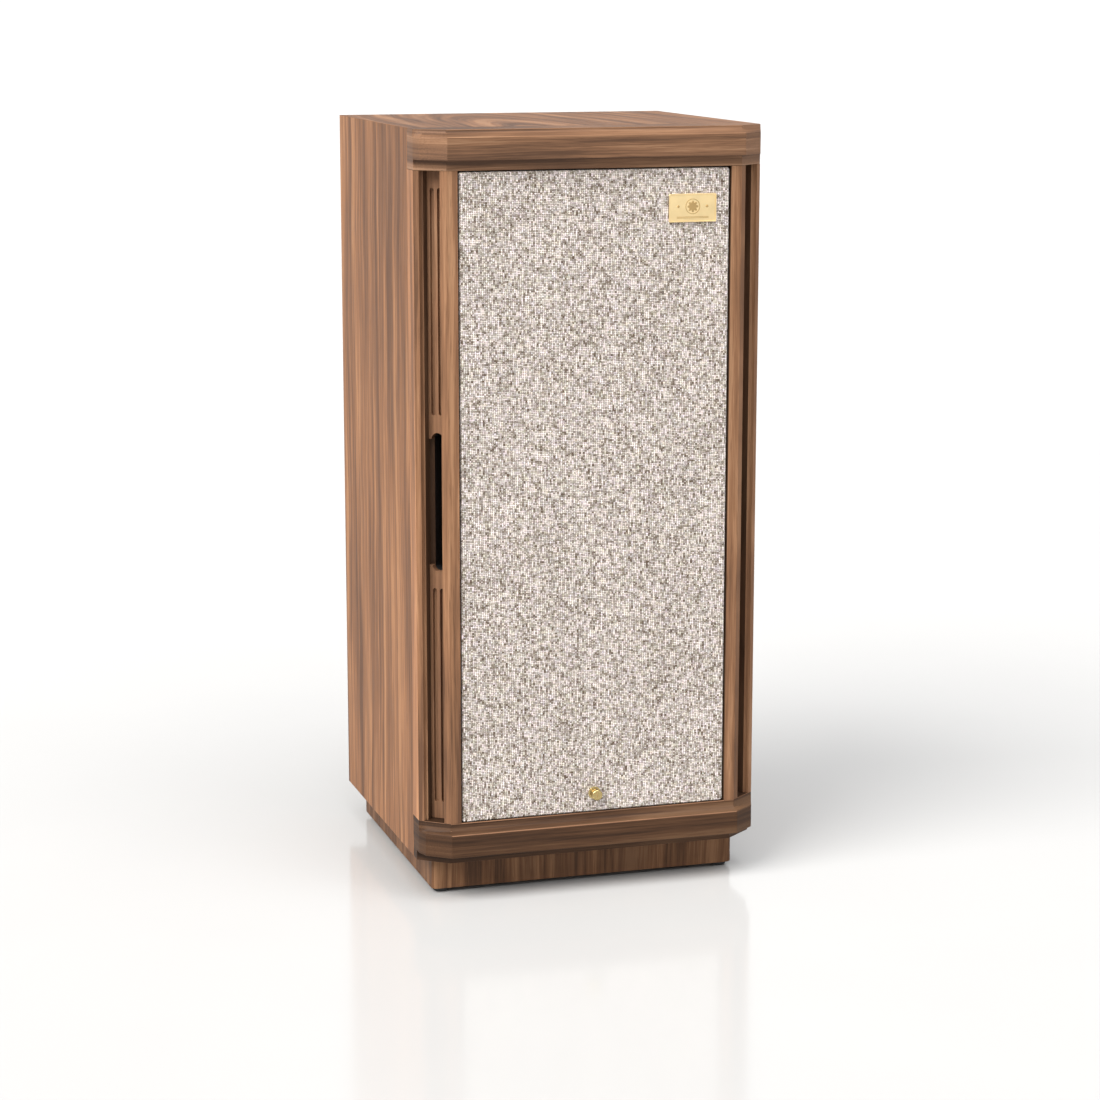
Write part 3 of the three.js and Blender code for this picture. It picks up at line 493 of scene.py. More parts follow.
def metal(name, colour, roughness, brushed=None):
    """Plain or brushed metal with slight uneven polish. brushed is the axis of the brush strokes."""
    s = Shader(name, roughness, 1.0)
    stretch = tuple(0.03 if axis == brushed else 1 for axis in "XYZ")
    grain = s.noise(s.scaled(s.place, stretch), 900, 3.0, 0.6)
    cloud = s.noise(s.place, 45.0, 3.0, 0.55)
    dull = tuple(c * 0.72 for c in colour)
    s.colour(s.mix(s.spread(cloud, 0.42, 0.75, 0.0, 0.48), colour, dull))
    s.set("Roughness", s.spread(grain, 0.3, 0.7, roughness - 0.06, roughness + 0.10))
    s.bump(grain, 0.00003, 0.5)
    return s.material


def speckled(name, colour, second, scale, roughness, bump=0.00006, spread=(0.4, 0.65)):
    """A mottled, slightly rough surface: paint, rubber, pulp, board or wadding."""
    s = Shader(name, roughness)
    fine = s.noise(s.place, scale, 3.0, 0.6)
    broad = s.noise(s.place, scale / 14, 2.0, 0.5)
    mixed = s.plus(s.times(fine, 0.7), s.times(broad, 0.3))
    s.colour(s.mix(s.spread(mixed, *spread), colour, second))
    s.set("Roughness", s.spread(broad, 0.35, 0.65, roughness - 0.08, roughness + 0.08))
    s.bump(fine, bump, 0.6)
    return s.material


def wound(name, colour, turns_per_metre, axis):
    """Wire wound in neat turns along an axis, with painted shade in the grooves between turns."""
    s = Shader(name, 0.3, 1.0)
    along = dict(zip("XYZ", s.xyz(s.place)))[axis]
    wave = s.math("SINE", s.times(along, turns_per_metre * 2 * math.pi))
    s.colour(s.mix(s.spread(wave, -1, 1, 0.0, 0.7), tuple(c * 0.45 for c in colour), colour))
    s.set("Roughness", s.spread(s.noise(s.place, 300.0), 0.3, 0.7, 0.25, 0.42))
    s.bump(wave, 0.0003, 0.8)
    return s.material


def make_woods():
    """Every veneer, by name. A trunk whose middle is far off gives stripes, and a near one gives arches."""
    far = 9.0
    side = dict(grain="Z_side", tone=0.41, pith=(far, 0.3), taper=0.10, streaks=0.45, warmth=1.12,
                waver=0.055, rate=50.0)
    rail = dict(grain="X", pith=(0.0, far), contrast=2.3, waver=0.010, rate=75.0)
    post = dict(streaks=0.15, contrast=2.0, warmth=1.03, waver=0.012)
    edge = dict(shift=(0.3, 0.1, 0.2), pith=(0.3, 0.3), streaks=0.1, contrast=1.2)
    woods = {
        "side": dict(side, shift=(0.0, 0.43, 0.1)),
        "side_right": dict(side, shift=(0.0, 0.9, 0.4)),
        # The top's tone is lower than the sides' as painted shade, for the top taking less light.
        "top": dict(grain="Y", tone=0.325, shift=(0.06, 0.0, 0.0), pith=(0.0, -0.80), taper=0.16,
                    streaks=0.35, contrast=2.0, warmth=1.07, waver=0.025, rate=70.0),
        "base": dict(grain="X", tone=0.45, shift=(0.0, 0.4, 0.3)),
        "back": dict(tone=0.45, shift=(0.06, 0.0, 0.1), pith=(0.02, -0.12), taper=0.2),
        "head": dict(rail, tone=0.345, shift=(0.1, 0.0, 0.24), warmth=0.99),
        # The moulding's chamfered ends: their own figure, with a lighter tone that is painted sheen.
        "facet": dict(rail, tone=0.42, shift=(0.1, 0.0, 0.24), streaks=0.4, contrast=2.2, warmth=0.97,
                      waver=0.004),
        "foot_rail": dict(rail, tone=0.128, shift=(0.9, 0.3, 0.5), streaks=0.3, warmth=1.05),
        "post_left": dict(post, tone=0.41, shift=(0.05, 0.02, 0.0), pith=(0.6, 0.3)),
        "post_right": dict(post, tone=0.38, shift=(0.55, 0.12, 0.3), pith=(0.9, 0.3)),
        "post_flank": dict(grain="Z_side", tone=0.68, shift=(0.0, 0.2, 0.3), pith=(far, 0.3), streaks=0.1,
                           contrast=2.0, warmth=1.07, waver=0.01, rate=60.0),
        "slat": dict(tone=0.45, shift=(0.4, 0.7, 0.2), pith=(0.9, 0.3), streaks=0.3, contrast=1.5,
                     waver=0.01),
        "plinth": dict(tone=0.30, shift=(0.3, 0.1, 0.6), pith=(0.9, 0.3), streaks=0.4, contrast=2.4,
                       warmth=1.07, waver=0.03),
        "plinth_side": dict(grain="Z_side", tone=0.27, shift=(0.0, 0.4, 0.6), pith=(far, 0.3), streaks=0.4,
                            warmth=1.07),
        # The arris veneers are lighter than the faces: painted highlights on the eased edges.
        "arris_highlight_along": dict(edge, grain="X", tone=0.40),
        "arris_highlight_up": dict(edge, tone=0.60),
        # Dark walnut on the post's channel walls: painted shade.
        "painted_channel_shade": dict(edge, tone=0.16, streaks=0.2),
    }
    return {name: walnut(name, **values) for name, values in woods.items()}


def make_materials():
    """Every finish that the pieces share, by name."""
    metals = {
        "plate": ((0.90, 0.70, 0.38), 0.36, "X"),
        "engraving": ((0.50, 0.34, 0.15), 0.42),
        "brass": ((0.50, 0.38, 0.17), 0.16),
        "panel_brass": ((0.74, 0.60, 0.36), 0.32, "X"),
        "gold": ((0.95, 0.70, 0.32), 0.16),
        "steel": ((0.62, 0.63, 0.65), 0.32),
        "black_screw": ((0.06, 0.06, 0.065), 0.38),
    }
    mottled = {
        # Black lacquer on the baffle and the grille frame; in the ports' tunnels it is painted shade.
        "lacquer_and_port_shade": ((0.012, 0.012, 0.013), (0.03, 0.03, 0.032), 1400, 0.45),
        "casting": ((0.022, 0.023, 0.026), (0.06, 0.062, 0.068), 1100, 0.42, 0.0001),
        "rubber": ((0.011, 0.011, 0.012), (0.032, 0.031, 0.03), 1500, 0.72),
        "surround": ((0.015, 0.014, 0.014), (0.042, 0.04, 0.038), 1800, 0.6),
        "pulp": ((0.022, 0.019, 0.017), (0.085, 0.072, 0.06), 700, 0.85, 0.0003, (0.42, 0.6)),
        "ferrite": ((0.035, 0.035, 0.04), (0.10, 0.10, 0.11), 1300, 0.62),
        "board": ((0.20, 0.13, 0.08), (0.42, 0.30, 0.19), 650, 0.85, 0.0003),
        "circuit": ((0.02, 0.09, 0.045), (0.035, 0.15, 0.075), 260, 0.35),
        "sleeve": ((0.28, 0.025, 0.02), (0.38, 0.05, 0.035), 420, 0.3),
        "cable": ((0.012, 0.012, 0.013), (0.05, 0.05, 0.052), 1600, 0.55),
        "wadding": ((0.42, 0.43, 0.45), (0.80, 0.81, 0.83), 320, 0.98, 0.0012, (0.35, 0.7)),
        "red": ((0.45, 0.012, 0.010), (0.58, 0.03, 0.02), 900, 0.4),
        "black": ((0.012, 0.012, 0.012), (0.03, 0.03, 0.03), 900, 0.4),
    }
    windings = {
        "spider": ((0.50, 0.30, 0.13), 260, "Y"),
        "copper": ((0.80, 0.36, 0.18), 620, "Z"),
        "coil": ((0.80, 0.36, 0.18), 1800, "Y"),
    }
    finishes = make_woods() | {"cloth": tweed(0.435)}
    for make, table in ((metal, metals), (speckled, mottled), (wound, windings)):
        finishes |= {name: make(name, *values) for name, values in table.items()}
    return finishes


# ---- the wooden case ----
def dress_case():
    plain = {
        "left_side_panel": "side", "right_side_panel": "side_right", "top_panel": "top",
        "bottom_panel": "base", "back_panel": "back", "plinth_front": "plinth", "plinth_back": "plinth",
        "plinth_left": "plinth_side", "plinth_right": "plinth_side",
    }
    for node, finish in plain.items():
        timber(node, finish, finish, 0.5 * MM)
    mouldings = (("top_moulding", "head", "facet"), ("bottom_moulding", "foot_rail", "foot_rail"))
    for node, finish, facet in mouldings:
        finish_moulding(timber(node, finish, "arris_highlight_along", 0.8 * MM), facet)
    for side in ("left", "right"):
        post = timber(side + "_corner_post", "post_" + side, "arris_highlight_up", 0.9 * MM)
        darken_channel(post)
        for level in ("upper", "lower"):
            slat = f"{side}_{level}_slat"
            timber(slat, "slat", "slat", 0.35 * MM, slat)
    dress("baffle", "lacquer_and_port_shade", 0.6 * MM)
    dress("grille_frame", "lacquer_and_port_shade", 0.8 * MM)
    for node in ("lower_brace", "upper_brace"):
        dress(node, "board", 0.5 * MM)


def finish_moulding(moulding, facet):
    """Only the arrises that face up keep their painted highlight, and the chamfered ends have their own
    veneer, lighter as painted sheen.
    """
    moulding.data.materials.append(FINISHES[facet])
    for face in moulding.data.polygons:
        slanted = abs(face.normal.x) > 0.3
        if slanted:
            face.material_index = FACET_SLOT
        elif face.material_index == ARRIS_SLOT and face.normal.z < 0.25:
            face.material_index = FACE_SLOT


def darken_channel(post):
    """The channel behind its step gets painted shade in dark walnut, and the port's tunnel gets painted
    shade in black.
    """
    side = -1 if post.name.startswith("left") else 1
    for finish in ("painted_channel_shade", "lacquer_and_port_shade", "post_flank"):
        post.data.materials.append(FINISHES[finish])
    corner = Vector((-side * CHAMFER_OUT, FRONT, 0))
    inward = Vector((-side * CHAMFER_DEPTH, CHAMFER_WIDE, 0)).normalized()
    for face in post.data.polygons:
        depth = (face.center - corner).dot(inward)
        on_port_side = abs(face.center.x) > GRILLE[1].x
        on_flank = face.normal.x * side > 0.9 and face.material_index == FACE_SLOT
        if on_flank and depth < CHANNEL_STEP + CHAMFER_DEPTH:
            face.material_index = FLANK_SLOT
        elif depth > CHANNEL_STEP and on_port_side and face.center.y < FRONT + 50 * MM:
            # Deep in the port's tunnel: black painted shade; the rest of the channel: dark painted shade.
            in_port = depth > PORT_STEP and PORT_LOW < face.center.z < PORT_HIGH
            face.material_index = PORT_SHADE_SLOT if in_port else CHANNEL_SHADE_SLOT


def make_feet():
    for node in ("front_left_foot", "front_right_foot", "back_left_foot", "back_right_foot"):
        r, top = half_width(node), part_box(node)[1].z
        centre = middle(node).x, middle(node).y
        profile = [(0, 0.6 * MM), (r * 0.45, 0.6 * MM), (r * 0.55, 0), *near(r, 0, (-1.6, 0), (0, 1.4)),
                   *near(r, top, (0, -1.0), (-0.8, 0)), (0, top)]
        turned(node + "_rubber", profile, centre, "rubber", "cabinet", node, ease=0.9 * MM, segments=64,
               axis="Z", closed=False)


# ---- grille ----
def make_grille_cloth():
    """Cloth stretched over the frame's face, round its edge, along its side and tucked in behind."""
    low, high = GRILLE
    turn, tuck, corner = 2.2 * MM, 0.5 * MM, 3.0 * MM
    turn_steps, side_steps = 6, 4
    rows = [(2 * turn, CLOTH_FACE), (turn, CLOTH_FACE)]
    for k in range(1, turn_steps + 1):
        angle = math.radians(90 * k / turn_steps)
        rows.append((turn - turn * math.sin(angle), CLOTH_FACE + turn - turn * math.cos(angle)))
    side_start = rows[-1][1]
    depth = GRILLE_BACK - side_start - 0.8 * MM
    rows += [(0, side_start + depth * k / side_steps) for k in range(1, side_steps + 1)]
    rows.append((tuck, GRILLE_BACK - 0.3 * MM))
    counts = side_counts(rounded_outline(low.x, high.x, low.z, high.z, corner, 6), 10 * MM)
    vertices = []
    for inset, y in rows:
        radius = max(corner - inset, 0.5 * MM)
        loop = rounded_outline(low.x + inset, high.x - inset, low.z + inset, high.z - inset, radius, 6)
        vertices += [(x, y, z) for x, z in subdivided(loop, counts)]
    count = sum(counts)
    face = tuple(range(count - 1, -1, -1))
    mesh = mesh_from(vertices, ring_faces(len(rows), count) + [face])
    cut_cloth_hole(mesh)
    cloth = link("grille_cloth_sheet", mesh, "cloth", "grille", "grille_cloth", sharp=60)
    solidify = cloth.modifiers.new("thickness", "SOLIDIFY")
    solidify.thickness = 0.8 * MM
    solidify.offset = -1
    return cloth


def side_counts(loop, longest):
    """How many parts each side of a loop takes, so that none is longer than that."""
    ends = loop[1:] + loop[:1]
    return [max(1, math.ceil(math.dist(a, b) / longest)) for a, b in zip(loop, ends)]


def subdivided(loop, counts):
    """The loop with its sides split, so the sheet bends evenly."""
    out = []
    for i, ((x, z), parts) in enumerate(zip(loop, counts)):
        nx, nz = loop[(i + 1) % len(loop)]
        out += [(x + (nx - x) * k / parts, z + (nz - z) * k / parts) for k in range(parts)]
    return out


def cut_cloth_hole(mesh):
    """Leaves the lock's bush its place in the cloth, with a second ring round it to keep the cloth flat."""
    sides = 32
    work = bmesh.new()
    work.from_mesh(mesh)
    front = max(work.faces, key=lambda face: face.calc_area())
    outline = list(front.verts)
    turns = [2 * math.pi * k / sides for k in range(sides)]
    inner, outer = [[work.verts.new((radius * math.cos(a), CLOTH_FACE, KNOB_Z + radius * math.sin(a)))
                     for a in turns] for radius in (5.4 * MM, 6.6 * MM)]
    for k in range(sides):
        n = (k + 1) % sides
        work.faces.new((inner[k], inner[n], outer[n], outer[k]))
    edges = [work.edges.get((loop[k], loop[(k + 1) % len(loop)])) for loop in (outline, outer)
             for k in range(len(loop))]
    work.faces.remove(front)
    bmesh.ops.triangle_fill(work, use_beauty=True, use_dissolve=False, edges=edges)
    bmesh.ops.recalc_face_normals(work, faces=work.faces)
    work.to_mesh(mesh)
    work.free()


def make_badge():
    """A bevelled plate with a raised border and a plain rosette between two rules."""
    low, high = BADGE
    field = low.y + 0.45 * MM
    base = plate(((low.x, field, low.z), high), 1.2 * MM, 0.3 * MM)
    link("badge_plate_face", base, "plate", "grille", "badge_plate")
    make_badge_border(field)

    cx, cz = (low.x + high.x) / 2, (low.z + high.z) / 2 + 1.5 * MM
    back, front = field + 0.15 * MM, field - 0.32 * MM

    def petal(radius, y, angle):
        return radius * (0.62 + 0.38 * abs(math.cos(4 * angle)))

    rosette = [(0, front), (2.2 * MM, front), (6.0 * MM, front + 0.12 * MM), (6.6 * MM, back), (0, back)]
    ring = [(7.6 * MM, back), (7.7 * MM, front), (8.3 * MM, front), (8.4 * MM, back)]
    diamond = [(0, front), (1.6 * MM, front), (1.9 * MM, back), (0, back)]
    pieces = [revolved(rosette, (cx, cz), 160, shape=petal), revolved(ring, (cx, cz), 96)]
    for side in (-1, 1):
        pieces.append(revolved(diamond, (cx + side * 16.5 * MM, cz), 4))
    for z in (low.z + 4.2 * MM, low.z + 5.4 * MM):
        rule = ((low.x + 9 * MM, front, z), (high.x - 9 * MM, back, z + 0.45 * MM))
        pieces.append(plate(rule, 0.15 * MM, 0.08 * MM))
    link("badge_ornament", joined(pieces), "engraving", "grille")


def make_badge_border(field):
    """The raised rim round the plate's field."""
    low, high = BADGE
    rim, slope, corner = 1.5 * MM, 0.3 * MM, 1.6 * MM
    section = [(0, field + 0.3 * MM), (0, low.y + 0.35 * MM), (slope, low.y), (rim - slope, low.y),
               (rim, field + 0.1 * MM)]
    vertices = []
    for inset, y in section:
        loop = rounded_outline(low.x + inset, high.x - inset, low.z + inset, high.z - inset, corner - inset)
        vertices += [(x, y, z) for x, z in loop]
    faces = ring_faces(len(section), len(loop), closed=True)
    link("badge_border", mesh_from(vertices, faces), "plate", "grille")


def make_lock():
    """A turned knob with a dished face on a stepped collar, and the works behind it."""
    axis = (0, KNOB_Z)
    r, (face, end) = half_width("lock_knob"), span("lock_knob")
    rc, (seat, bush_end) = half_width("lock_bush"), span("lock_bush")
    profile = [(0, face + 0.55 * MM), (r * 0.45, face + 0.5 * MM), (r * 0.72, face + 0.32 * MM),
               (r * 0.82, face), (r * 0.90, face), *near(r, face, (0, 0.6), (0, 2.6)),
               (r * 0.84, face + 3.6 * MM), (r * 0.80, seat - 2.2 * MM),
               *near(r * 0.92, seat, (0, -0.5), (0, -0.3)), *near(0, seat, (2.9, -0.3)),
               *near(0, end, (2.9, 0), (0, 0))]
    turned("lock_knob_turned", profile, axis, "brass", "grille_lock", "lock_knob", ease=0.35 * MM,
           closed=False)
    middle_of_slot, half = Vector((0, face + 0.5 * MM, KNOB_Z)), Vector((0.5, 0.12, 2.6)) * MM
    slot = plate((middle_of_slot - half, middle_of_slot + half), 0.3 * MM, 0.1 * MM)
    link("lock_knob_mark", slot, "engraving", "grille_lock")
    bore, shank, shoulder = 3.1 * MM, 4.9 * MM, FRONT + 0.9 * MM
    ring = [(bore, seat), *near(rc, seat, (-1.6, 0), (-1.0, 0.35), (0, 0.5)), (rc, shoulder),
            (shank, shoulder), (shank, bush_end), (bore, bush_end)]
    turned("lock_collar", ring, axis, "brass", "grille", "lock_bush", ease=0.2 * MM)
    dress("lock_cam", "steel", 0.3 * MM)
    dress("lock_keeper", "steel", 0.2 * MM)
    places = [(side * 20 * MM, KNOB_Z + up * 12 * MM) for side in (-1, 1) for up in (-1, 1)]
    screws("keeper_screws", places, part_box("lock_keeper")[0].y, 2.2 * MM, "steel", "cabinet")


# ---- fasteners ----
def hexagon(across):
    """A radius that follows a hexagon."""
    def radius_at(angle):
        sector = math.pi / 3
        return across / math.cos((angle % sector) - sector / 2)
    return radius_at


def screws(name, places, seat, radius, finish, body, outward=-1):
    """Button-head screws with a hexagon socket, seated on a plane at y = seat."""
    socket = hexagon(radius * 0.42)

    def shape(r, y, angle):
        return socket(angle) if r < 0 else r

    up = outward * radius * 0.55
    in_socket = -1  # stands for the socket's own radius
    side = [(in_socket, 0.35), (in_socket, 1), (radius * 0.72, 0.96), (radius * 0.95, 0.5), (radius, 0)]
    profile = [(r, seat + up * share) for r, share in [(0, 0.35), *side, (0, 0)]]
    heads = [revolved(profile, place, 48, closed=False, shape=shape) for place in places]
    link(name, joined(heads), finish, body)


# ---- drive unit ----
def make_drive_unit():
    make_flange()
    make_trim()
    make_surround()
    make_spider()
    make_cone()
    make_waveguide()
    dress("driver_basket", "casting", 0)
    for node, finish in (("magnet_front_plate", "steel"), ("ring_magnet", "ferrite"),
                         ("pole_and_back_plate", "steel"), ("treble_unit", "casting")):
        dress(node, finish, 0.4 * MM)


def make_flange():
    """The cast rim that the drive unit is bolted on by."""
    face, inner, outer = FLANGE_FRONT, 107.2 * MM, half_width("driver_basket")
    ring = [*near(inner, face, (0, 0.2)), *near(outer, face, (-1.0, 0), (0, 1.0)), (outer, RECESS),
            (inner, RECESS)]
    turned("basket_flange", ring, DRIVER_AXIS, "casting", "cabinet", ease=0.4 * MM, segments=128)


def make_trim():
    """The rubber ring over the flange, with the bolts through it."""
    face, front = FLANGE_FRONT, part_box("driver_trim_ring")[0].y
    inner, outer = 108.6 * MM, half_width("driver_trim_ring")
    profile = near(inner, face, (0, -0.05), (0, -1.1)) + near(inner, front, (1.0, 0))
    profile += near(outer, front, (-9.0, 0), (-8.0, 0.5), (-1.0, 0.7))
    profile += near(outer, face, (0, -0.6), (0, -0.05))
    turned("driver_trim_rubber", profile, DRIVER_AXIS, "rubber", "cabinet", "driver_trim_ring",
           ease=0.5 * MM, segments=128)
    bolt_count, bolt_circle = 8, 123.3 * MM
    turns = [2 * math.pi * (k + 0.5) / bolt_count for k in range(bolt_count)]
    bolts = [(bolt_circle * math.cos(a), DRIVER_Z + bolt_circle * math.sin(a)) for a in turns]
    screws("driver_bolts", bolts, front + 0.62 * MM, 2.9 * MM, "black_screw", "cabinet")


def radial_blend(piece):
    """Bakes the ring's placement into its mesh."""
    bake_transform(piece)


def make_surround():
    """A half roll of foam between the flange and the cone."""
    crest, roll, thick = 99.8 * MM, 7.0 * MM, 0.8 * MM
    base = FLANGE_FRONT - 1.0 * MM

    def line(offset, radius):
        arc = [math.pi * k / 16 for k in range(17)]
        points = [(crest + radius * math.cos(a), base - radius * math.sin(a)) for a in arc]
        return [(108.1 * MM, base + offset), *points, (88.6 * MM, base + offset)]

    profile = line(0, roll) + line(thick, roll - thick)[::-1]
    ring = turned("driver_surround_roll", profile, DRIVER_AXIS, "surround", None, "driver_surround",
                  segments=128)
    radial_blend(ring)


def make_spider():
    """The pleated disc that centres the voice coil."""
    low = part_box("driver_spider")[0]
    inner, outer, pleats = 26.9 * MM, 64 * MM, 6
    points = []
    for k in range(61):
        t = k / 60
        pleat = 0.9 * MM * math.sin(t * pleats * 2 * math.pi) * math.sin(t * math.pi)
        points.append((inner + (outer - inner) * t, low.y + 1.2 * MM + 3.0 * MM * t + pleat))
    profile = points + [(r, y + 0.5 * MM) for r, y in reversed(points)]
    disc = turned("driver_spider_cloth", profile, DRIVER_AXIS, "spider", None, "driver_spider", segments=72)
    radial_blend(disc)


def make_cone():
    """A ribbed paper cone with its edge bead, and the voice coil on its neck."""
    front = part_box("driver_cone")[0].y
    rim, neck, depth, ribs = 92.4 * MM, 27.0 * MM, 44 * MM, 9

    def line(offset):
        points = []
        for k in range(45):
            t = k / 44
            rib = 0.35 * MM * math.exp(-((t * ribs) % 1 - 0.5) ** 2 * 60) if 0.1 < t < 0.8 else 0
            points.append((rim - (rim - neck) * t ** 0.8, front + depth * t - rib + offset))
        return points

    profile = line(0) + line(1.1 * MM)[::-1]
    turned("driver_cone_paper", profile, DRIVER_AXIS, "pulp", "cone", "driver_cone", segments=128)
    bead = near(rim, front, (-0.3, 0), (0.2, -0.35), (-1.6, -0.3), (-3.4, 1.2))
    turned("cone_edge_bead", bead, DRIVER_AXIS, "rubber", "cone", segments=128)
    r, (start, end) = half_width("voice_coil"), span("voice_coil")
    coil = near(r, start, (-0.9, 0), (-0.5, 0))
    coil += near(r, end, (-0.5, -16), (-0.05, -15), (-0.05, 0), (-0.9, 0))
    turned("voice_coil_winding", coil, DRIVER_AXIS, "coil", "cone", "voice_coil", segments=72)


def make_waveguide():
    """The horn in the middle of the cone: a flared throat with a central plug."""
    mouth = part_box("pole_and_back_plate")[0].y
    throat = near(0, mouth, (24.4, 0.1), (23.6, -1.6), (21.6, -1.2), (19.6, 2), (18.2, 8), (16.0, 20),
                  (19.6, 20), (19.9, 0.1))
    turned("treble_throat", throat, DRIVER_AXIS, "casting", "cabinet", ease=0.6 * MM)
    tip, tail = span("phase_plug")
    bulge = ((0.01, 1.6), (0.04, 4.2), (0.09, 7.0), (0.16, 9.3), (0.24, 10.4), (0.34, 10.2), (0.46, 8.6),
             (0.6, 6.0), (0.75, 4.2), (1.0, 4.0))
    line = [(0, tip), *((radius * MM, tip + (tail - tip) * t) for t, radius in bulge), (0, tail)]
    turned("phase_plug_turned", line, DRIVER_AXIS, "brass", "cabinet", "phase_plug", closed=False)


# ---- treble controls ----
def make_controls():
    """A brass panel with two knurled knobs, each with five marks round it."""
    low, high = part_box("control_plate")
    knobs = {node: box_centre(node) for node in ("treble_level_knob", "treble_slope_knob")}
    holes = [(x, z, 3.4 * MM) for x, z in knobs.values()]
    face = plate((low, high), 6 * MM, 0.4 * MM, holes)
    link("control_plate_face", face, "panel_brass", "cabinet", "control_plate")
    corners = [(x, z) for x in (low.x + 6 * MM, high.x - 6 * MM) for z in (low.z + 6 * MM, high.z - 6 * MM)]
    screws("control_plate_screws", corners, low.y, 2.4 * MM, "black_screw", "cabinet")

    marks = []
    for centre in knobs.values():
        for step in range(-2, 3):
            outer = (19 if step == 0 else 17.5) * MM
            marks.append(tick(centre, math.radians(90 - 30 * step), 14.5 * MM, outer, 0.9 * MM, low.y))
    link("control_marks", joined(marks), "black", "cabinet")
    for node, centre in knobs.items():
        make_control_knob(node, centre, low.y - 0.3 * MM)


def make_control_knob(node, centre, back):
    low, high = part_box(node)
    front, r, shaft, ridges = low.y, half_width(node), 3.0 * MM, 48

    def knurl(radius, y, angle):
        if radius > r - 0.05 * MM and y > front + 1.2 * MM:
            return radius - 0.35 * MM * (0.5 + 0.5 * math.cos(ridges * angle))
        return radius

    profile = [(0, front + 0.5 * MM), *near(r, front, (-3.2, 0.5), (-2.6, 0), (-1.0, 0), (0, 1.1), (0, 1.3)),
               *near(r, back, (0, -1.6), (0, -0.2), (-0.4, 0)), (shaft, back), (shaft, high.y), (0, high.y)]
    turned(node + "_knurled", profile, centre, "brass", node, node, segments=192, closed=False, shape=knurl)
    line = tick(centre, math.pi / 2, 3 * MM, r - 1.2 * MM, 0.9 * MM, front + 0.2 * MM)
    link(node + "_pointer", line, "black", node)


def tick(centre, angle, inner, outer, width, face):
    """A thin raised bar pointing outwards from centre on a plane facing -Y."""
    c, s = math.cos(angle), math.sin(angle)
    corners = []
    for y in (face - 0.15 * MM, face + 0.1 * MM):
        for along, aside in ((inner, -1), (outer, -1), (outer, 1), (inner, 1)):
            w = aside * width / 2
            corners.append((centre[0] + along * c - w * s, y, centre[1] + along * s + w * c))
    faces = [(0, 1, 2, 3), (4, 5, 6, 7)] + [(k, (k + 1) % 4, (k + 1) % 4 + 4, k + 4) for k in range(4)]
    return mesh_from(corners, faces)


# ---- rear terminals ----
def make_terminals():
    """A brass plate in the back with four binding posts: black and red for treble and for bass."""
    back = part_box("terminal_plate")[1].y
    dress("terminal_plate", "panel_brass", 0.3 * MM)
    centre_z = box_centre("terminal_plate")[1]
    places = [(sx * 56 * MM, centre_z + sz * 30 * MM) for sx in (-1, 1) for sz in (-1, 1)]
    screws("terminal_screws", places, back, 2.6 * MM, "black_screw", "cabinet", outward=1)
    for tone in ("treble", "bass"):
        for pole, colour in (("minus", "black"), ("plus", "red")):
            make_terminal(f"{tone}_{pole}", colour, back + 0.3 * MM)


def make_terminal(name, band_finish, seat):
    """A gilt stud with a knurled cap, and a coloured band round the cap."""
    post = name + "_post"
    centre = box_centre(post)
    (start, tip), stem, flange = span(post), 2.7 * MM, 7.9 * MM
    stud = [(0, start), (stem, start), (stem, seat),
            *near(flange, seat, (-0.3, 0), (0, 0.5), (0, 2.5), (-0.5, 3)), *near(stem, seat, (0, 3)),
            *near(stem, tip, (0, -0.5), (-0.5, 0)), (0, tip)]
    turned(name + "_stud", stud, centre, "gold", "cabinet", post, ease=0.2 * MM, segments=64, closed=False)
    body = name + "_cap"
    low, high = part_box(body)
    r, bore, ridges = half_width(body), 3.0 * MM, 24

    def knurl(radius, y, angle):
        if radius > r - 0.05 * MM and low.y + 0.9 * MM < y < high.y - 3 * MM:
            return radius - 0.5 * MM * (0.5 + 0.5 * math.cos(ridges * angle))
        return radius

    cap = [(bore, low.y), *near(r, low.y, (-0.6, 0), (0, 0.6), (0, 1.1)),
           *near(r, high.y, (0, -3.4), (0, -2.6), (-1.2, -2.2), (-1.2, 0)), (bore, high.y)]
    turned(body + "_knurled", cap, centre, "gold", body, body, segments=192, shape=knurl)
    band = near(r, high.y, (-1.25, -2.0), (-0.5, -1.9), (-0.5, -0.5), (-1.25, -0.3))
    turned(name + "_band", band, centre, band_finish, body, ease=0.2 * MM, segments=64)


def make_back_screws():
    """Wood screws round the back panel's edge."""
    low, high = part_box("back_panel")
    inset, gaps_up, gaps_across = 12 * MM, 5, 3
    left, right = low.x + inset, high.x - inset
    bottom, top = low.z + inset, high.z - inset
    rise, run = (top - bottom) / gaps_up, (right - left) / gaps_across
    places = [(x, bottom + rise * k) for x in (left, right) for k in range(gaps_up + 1)]
    places += [(left + run * k, z) for z in (bottom, top) for k in range(1, gaps_across)]
    screws("back_panel_screws", places, high.y - 0.1 * MM, 3.4 * MM, "black_screw", "cabinet", outward=0.35)


# ---- inside ----
def make_inside():
    dress("crossover_board", "circuit", 0.3 * MM)
    make_inductor()
    make_capacitor()
    make_wadding()
    for node in ("input_lead", "driver_lead"):
        dress(node, "cable", 0)
        NODES[node].modifiers.new("weld", "WELD").merge_threshold = 0.01 * MM
        smooth = NODES[node].modifiers.new("round", "SUBSURF")
        smooth.levels = smooth.render_levels = 1


